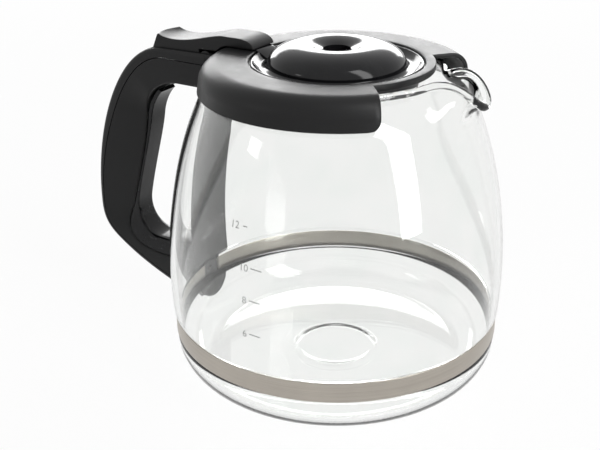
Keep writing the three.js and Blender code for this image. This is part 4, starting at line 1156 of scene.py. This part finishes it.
backPlate = {
    "width": 0.028, "neck": 0.0104, "foot": 0.022, "bottom": 0.0095, "ledge": 0.0016, "toe": 0.001,
    "edge": 0.0005,
}


def makeBackPlate():
    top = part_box("handle_backplate")[1].z
    ledge, toe = bandTop + backPlate["ledge"], band["bottom"] - backPlate["toe"]
    inner = offsetLine(outside, lambda along: fit)
    outer = offsetLine(outside, lambda along: fit + handle["plate"])
    heights = [between(backPlate["bottom"], toe, 1 - math.cos(i / 10 * math.pi / 2)) for i in range(11)]
    drops = [(toe - z) / (toe - backPlate["bottom"]) for z in heights]
    halves = [backPlate["foot"] / 2 * math.sqrt(max(1 - drop ** 2, 0.01)) for drop in drops]
    stations = list(zip(heights, halves))
    stations += [(between(toe + 0.0001, ledge - 0.0001, i / 6), backPlate["neck"] / 2) for i in range(7)]
    stations += [(between(ledge, top, i / 44), backPlate["width"] / 2) for i in range(45)]
    stations[-1] = (top, backPlate["width"] / 2 - backPlate["edge"])
    points = []
    shares = [i / 10 for i in range(11)]
    for z, half in stations:
        rows = [(lineAt(outer, z), shares), (lineAt(inner, z), shares[::-1])]
        tucked = between(rows[0][0], rows[1][0], 0.2)
        for radius, order in rows:
            for share in order:
                y = between(-half, half, share)
                r = tucked if share in (0, 1) and radius == rows[0][0] else radius
                points.append((-math.sqrt(r * r - y * y), y, z))
    piece = skinned("handleBackPlate", points, len(stations), 1e-6)
    z = middleOf("pad_screw").z
    carved(piece, rod("padRoom", handle["screwRoom"], (-0.06, 0, z), (-0.09, 0, z)))
    placed(smoothed(piece, 36), "carafe", matteFinish, "matte_black", "handle_backplate")


makeBand()
makeBackPlate()
print("band and back plate made")


# Screws: one node tree, run with each screw's own sizes

def newTree(name, inputs):
    tree = bpy.data.node_groups.new(name, "GeometryNodeTree")
    tree.interface.new_socket("Geometry", in_out="OUTPUT", socket_type="NodeSocketGeometry")
    tree.interface.new_socket("Geometry", in_out="INPUT", socket_type="NodeSocketGeometry")
    for label, kind in inputs.items():
        tree.interface.new_socket(label, in_out="INPUT", socket_type=kind)
    return tree, tree.nodes.new("NodeGroupInput"), tree.nodes.new("NodeGroupOutput")


def grown(name, points, axes, tree, values, lengths=()):
    # runs a tree on points that carry their own axis and length, and keeps the plain mesh
    piece = meshPiece(name, points, [])
    axisStore = piece.data.attributes.new("axis", "FLOAT_VECTOR", "POINT")
    for i, axis in enumerate(axes):
        axisStore.data[i].vector = axis
    if lengths:
        lengthStore = piece.data.attributes.new("long", "FLOAT", "POINT")
        for i, length in enumerate(lengths):
            lengthStore.data[i].value = length
    step = piece.modifiers.new("grow", "NODES")
    step.node_group = tree
    sockets = {s.name: s.identifier for s in tree.interface.items_tree if s.in_out == "INPUT"}
    for label, value in values.items():
        step[sockets[label]] = value
    return applied(piece)


def alongAxis(tree):
    axis = addNode(tree, "GeometryNodeInputNamedAttribute", {"data_type": "FLOAT_VECTOR"}, 0, Name="axis")
    return addNode(tree, "FunctionNodeAlignRotationToVector", {"axis": "Z"}, 0, Vector=axis)


def finishTree(tree, start, end, spread):
    real = addNode(tree, "GeometryNodeRealizeInstances", None, 0, Geometry=spread)
    finish = Wire(tree, start.outputs["Finish"])
    done = addNode(tree, "GeometryNodeSetMaterial", None, 0, Geometry=real, Material=finish)
    tree.links.new(done.socket, end.inputs["Geometry"])


# shares of the head's radius, the shank's radius and the head's height, and the sides of each round
screwShape = {
    "crown": 0.55, "tip": 0.7, "rimHigh": 0.5, "slotLong": 1.15, "slotWide": 0.26, "slotPlace": 0.95,
    "sides": 28,
}


def screwTree():
    labels = ("Shank Radius", "Head Radius", "Head Height", "Length")
    inputs = {label: "NodeSocketFloat" for label in labels}
    tree, start, end = newTree("panScrew", {**inputs, "Finish": "NodeSocketMaterial"})
    value = {label: Wire(tree, start.outputs[label]) for label in labels}
    shank, head, height, length = (value[label] for label in labels)

    def lifted(geometry, up):
        place = addNode(tree, "ShaderNodeCombineXYZ", None, 0, Z=up)
        return addNode(tree, "GeometryNodeTransform", None, 0, Geometry=geometry, Translation=place)

    def cone(top, bottom, depth, low):
        body = addNode(
            tree, "GeometryNodeMeshCone", None, 0,
            Vertices=screwShape["sides"], Radius_Top=top, Radius_Bottom=bottom, Depth=depth,
        )
        return lifted(body, low)

    rimHigh = height * screwShape["rimHigh"]
    crown = cone(head * screwShape["crown"], head, height - rimHigh, rimHigh)
    rim = cone(head, head, rimHigh, 0)
    stem = cone(shank, shank * screwShape["tip"], length, length * -1)
    joined = tree.nodes.new("GeometryNodeMeshBoolean")
    joined.operation = "UNION"
    for part in (crown, rim, stem):
        tree.links.new(part.socket, joined.inputs["Mesh 2"])
    slots = []
    for quarter in (0, 1):
        long, narrow = head * screwShape["slotLong"], head * screwShape["slotWide"]
        sides = (long, narrow) if quarter == 0 else (narrow, long)
        size = addNode(tree, "ShaderNodeCombineXYZ", None, 0, X=sides[0], Y=sides[1], Z=height)
        slot = addNode(tree, "GeometryNodeMeshCube", None, 0, Size=size)
        slots.append(lifted(slot, height * screwShape["slotPlace"]))
    cutAway = tree.nodes.new("GeometryNodeMeshBoolean")
    cutAway.operation = "DIFFERENCE"
    tree.links.new(joined.outputs["Mesh"], cutAway.inputs["Mesh 1"])
    for part in slots:
        tree.links.new(part.socket, cutAway.inputs["Mesh 2"])
    spread = addNode(
        tree, "GeometryNodeInstanceOnPoints", None, 0, Points=Wire(tree, start.outputs["Geometry"]),
        Instance=Wire(tree, cutAway.outputs["Mesh"]), Rotation=alongAxis(tree),
    )
    finishTree(tree, start, end, spread)
    return tree


screwSizes = {
    "armScrews": {
        "nodes": ("arm_screw_near", "arm_screw_far"), "body": "carafe",
        "axis": (-1, 0, 0), "shank": 0.0015, "head": 0.0026, "height": 0.0018,
    },
    "padScrew": {
        "nodes": ("pad_screw",), "body": "carafe",
        "axis": (-1, 0, 0), "shank": 0.0015, "head": 0.0026, "height": 0.0018,
    },
    "clampScrew": {
        "nodes": ("band_screw",), "body": "carafe",
        "axis": (0, 1, 0), "shank": 0.0016, "head": 0.003, "height": 0.0012,
    },
    "lidScrews": {
        "nodes": ("lid_screw_1", "lid_screw_2", "lid_screw_3"), "body": "lid",
        "axis": (0, 0, -1), "shank": 0.0012, "head": 0.0024, "height": 0.0016,
    },
    "leverScrews": {
        "nodes": ("lever_screw_front", "lever_screw_rear"), "body": "lid",
        "axis": (0, 0, -1), "shank": 0.0011, "head": 0.0022, "height": 0.0013,
    },
}


def makeScrews():
    tree = screwTree()
    for name, spec in screwSizes.items():
        axis = Vector(spec["axis"])
        seats, length = [], 0
        for node in spec["nodes"]:
            low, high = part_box(node)
            middle, half = (low + high) / 2, (high - low) / 2
            reach = abs(half.dot(axis))
            seats.append(middle + axis * (reach - spec["height"]))
            length = 2 * reach - spec["height"]
        values = {
            "Shank Radius": spec["shank"], "Head Radius": spec["head"], "Head Height": spec["height"],
            "Length": length, "Finish": zincFinish,
        }
        piece = grown(name, seats, [axis] * len(seats), tree, values)
        placed(smoothed(piece, 36), spec["body"], zincFinish, "screw_steel", *spec["nodes"])


makeScrews()
print("screws made")


# Fill marks on the glass

# height, then turns of the number's right edge and of the tick's two ends
marks = {
    "12": (0.0926, -92.1, -90.7, -89.1), "10": (0.0762, -87.8, -87.0, -83.1),
    "8": (0.0625, -88.1, -87.2, -83.5), "6": (0.0475, -88.1, -87.2, -83.5),
}
ink = {"tickHigh": 0.0005, "thickness": 0.00006, "numberHigh": 0.003, "capitalShare": 0.7}


def onGlass(turn, z, away):
    r = radiusAt(z) + away
    return Vector((r * math.cos(turn), r * math.sin(turn), z))


def outwards(turn, z):
    slope = (radiusAt(z + 0.001) - radiusAt(z - 0.001)) / 0.002
    return Vector((math.cos(turn), math.sin(turn), -slope)).normalized()


def tickTree():
    labels = ("High", "Thick")
    inputs = {label: "NodeSocketFloat" for label in labels}
    tree, start, end = newTree("fillTick", {**inputs, "Finish": "NodeSocketMaterial"})
    high, thick = (Wire(tree, start.outputs[label]) for label in labels)
    size = addNode(tree, "ShaderNodeCombineXYZ", None, 0, X=1.0, Y=high, Z=thick)
    slab = addNode(tree, "GeometryNodeMeshCube", None, 0, Size=size, Vertices_X=6)
    long = addNode(tree, "GeometryNodeInputNamedAttribute", {"data_type": "FLOAT"}, 0, Name="long")
    stretch = addNode(tree, "ShaderNodeCombineXYZ", None, 0, X=long, Y=1.0, Z=1.0)
    spread = addNode(
        tree, "GeometryNodeInstanceOnPoints", None, 0, Points=Wire(tree, start.outputs["Geometry"]),
        Instance=slab, Rotation=alongAxis(tree), Scale=stretch,
    )
    finishTree(tree, start, end, spread)
    return tree


def makeNumber(text, z, turn):
    curve = bpy.data.curves.new("number" + text, "FONT")
    curve.body = text
    curve.size = ink["numberHigh"] / ink["capitalShare"]
    curve.align_x = "RIGHT"
    curve.extrude = ink["thickness"] / 2
    letter = bpy.data.objects.new("number" + text, curve)
    bpy.context.scene.collection.objects.link(letter)
    flat = bpy.data.meshes.new_from_object(letter.evaluated_get(bpy.context.evaluated_depsgraph_get()))
    bpy.data.objects.remove(letter)
    for vertex in flat.vertices:
        x, y, thick = vertex.co
        up = z + y - ink["numberHigh"] / 2
        vertex.co = onGlass(turn + x / radiusAt(z), up, ink["thickness"] + thick)
    piece = bpy.data.objects.new("number" + text, flat)
    bpy.context.scene.collection.objects.link(piece)
    placed(cleaned(piece, 1e-7), "carafe", inkFinish, "clear_glass")


def makeMarks():
    spots, axes, lengths = [], [], []
    for text, (z, *turns) in marks.items():
        number, start, end = (math.radians(turn) for turn in turns)
        makeNumber(text, z, number)
        spots.append(onGlass((start + end) / 2, z, ink["thickness"]))
        axes.append(outwards((start + end) / 2, z))
        lengths.append(radiusAt(z) * (end - start))
    values = {"High": ink["tickHigh"], "Thick": ink["thickness"], "Finish": inkFinish}
    ticks = grown("fillTicks", spots, axes, tickTree(), values, lengths)
    placed(ticks, "carafe", inkFinish, "clear_glass")


makeMarks()
print("fill marks made")


# Camera and studio

view = {
    "distance": 0.4178, "height": 0.2557, "turn": 30, "forward": (-0.4648, 0.7825, -0.4146),
    "lens": 60.36, "sensor": 36, "shift": -0.0413,
}


def makeCamera():
    camera = bpy.data.cameras.new("viewer")
    camera.lens = view["lens"]
    camera.sensor_width = view["sensor"]
    camera.sensor_fit = "HORIZONTAL"
    camera.shift_x = view["shift"]
    camera.clip_start = 0.01
    piece = bpy.data.objects.new("viewer", camera)
    turn = math.radians(view["turn"])
    piece.location = (view["distance"] * math.sin(turn), -view["distance"] * math.cos(turn), view["height"])
    piece.rotation_euler = Vector(view["forward"]).to_track_quat("-Z", "Y").to_euler()
    bpy.context.scene.collection.objects.link(piece)
    bpy.context.scene.camera = piece


studio = {"floorSize": 8, "floorDrop": 0.0002, "floorGrey": 0.86, "shadowShare": 0.06, "room": 0.3}


def backgroundRays(tree):
    # a ray through glass counts as glossy too, so it is taken once
    kinds = ("Is Camera Ray", "Is Glossy Ray", "Is Transmission Ray")
    camera, glossy, through = (addNode(tree, "ShaderNodeLightPath", None, kind) for kind in kinds)
    return camera + glossy * (1 - through) + through


def makeFloor():
    half = studio["floorSize"] / 2
    z = -studio["floorDrop"]
    corners = [(-half, -half, z), (half, -half, z), (half, half, z), (-half, half, z)]
    floor = meshPiece("floor", corners, [(0, 1, 2, 3)])
    material, tree = newMaterial("paleFloor")
    white = addNode(tree, "ShaderNodeEmission", None, 0, Color=(1, 1, 1, 1), Strength=1.0)
    lit = addNode(tree, "ShaderNodeBsdfDiffuse", None, 0, Color=(studio["floorGrey"],) * 3 + (1,))
    share = backgroundRays(tree) * (1 - studio["shadowShare"])
    finished(tree, addNode(tree, "ShaderNodeMixShader", None, 0, **{"0": share, "1": lit, "2": white}))
    floor.data.materials.append(material)


def makeWorld():
    world = bpy.data.worlds.new("studio")
    bpy.context.scene.world = world
    world.use_nodes = True
    tree = world.node_tree
    tree.nodes.clear()
    tone = studio["room"] + backgroundRays(tree) * (1 - studio["room"])
    shade = addNode(tree, "ShaderNodeBackground", None, 0, Color=tone, Strength=1.0)
    output = tree.nodes.new("ShaderNodeOutputWorld")
    tree.links.new(shade.socket, output.inputs["Surface"])


lamps = {
    "card": {"place": (-0.84, 1.36, 0.54), "aim": (0, 0, 0.14), "size": (1.9, 0.46), "power": 19.0},
    "window": {"place": (0.86, -0.16, 0.62), "aim": (0, 0, 0.12), "size": (0.3, 1.5), "power": 10.0},
    "fill": {"place": (-0.59, -0.84, 0.45), "aim": (0, 0, 0.08), "size": (0.16, 0.12), "power": 0.3},
}


def makeLamps():
    for name, spec in lamps.items():
        lamp = bpy.data.lights.new(name, "AREA")
        lamp.shape = "RECTANGLE"
        lamp.size, lamp.size_y = spec["size"]
        lamp.energy = spec["power"]
        piece = bpy.data.objects.new(name, lamp)
        piece.location = spec["place"]
        aim = Vector(spec["aim"]) - Vector(spec["place"])
        piece.rotation_euler = aim.to_track_quat("-Z", "Y").to_euler()
        bpy.context.scene.collection.objects.link(piece)


makeCamera()
makeFloor()
makeWorld()
makeLamps()
bpy.context.scene.view_settings.view_transform = "Standard"
print("studio made")

for name in ("band_nut", "hinge_pin"):
    nodes[name].data.materials.clear()
    nodes[name].data.materials.append(zincFinish)
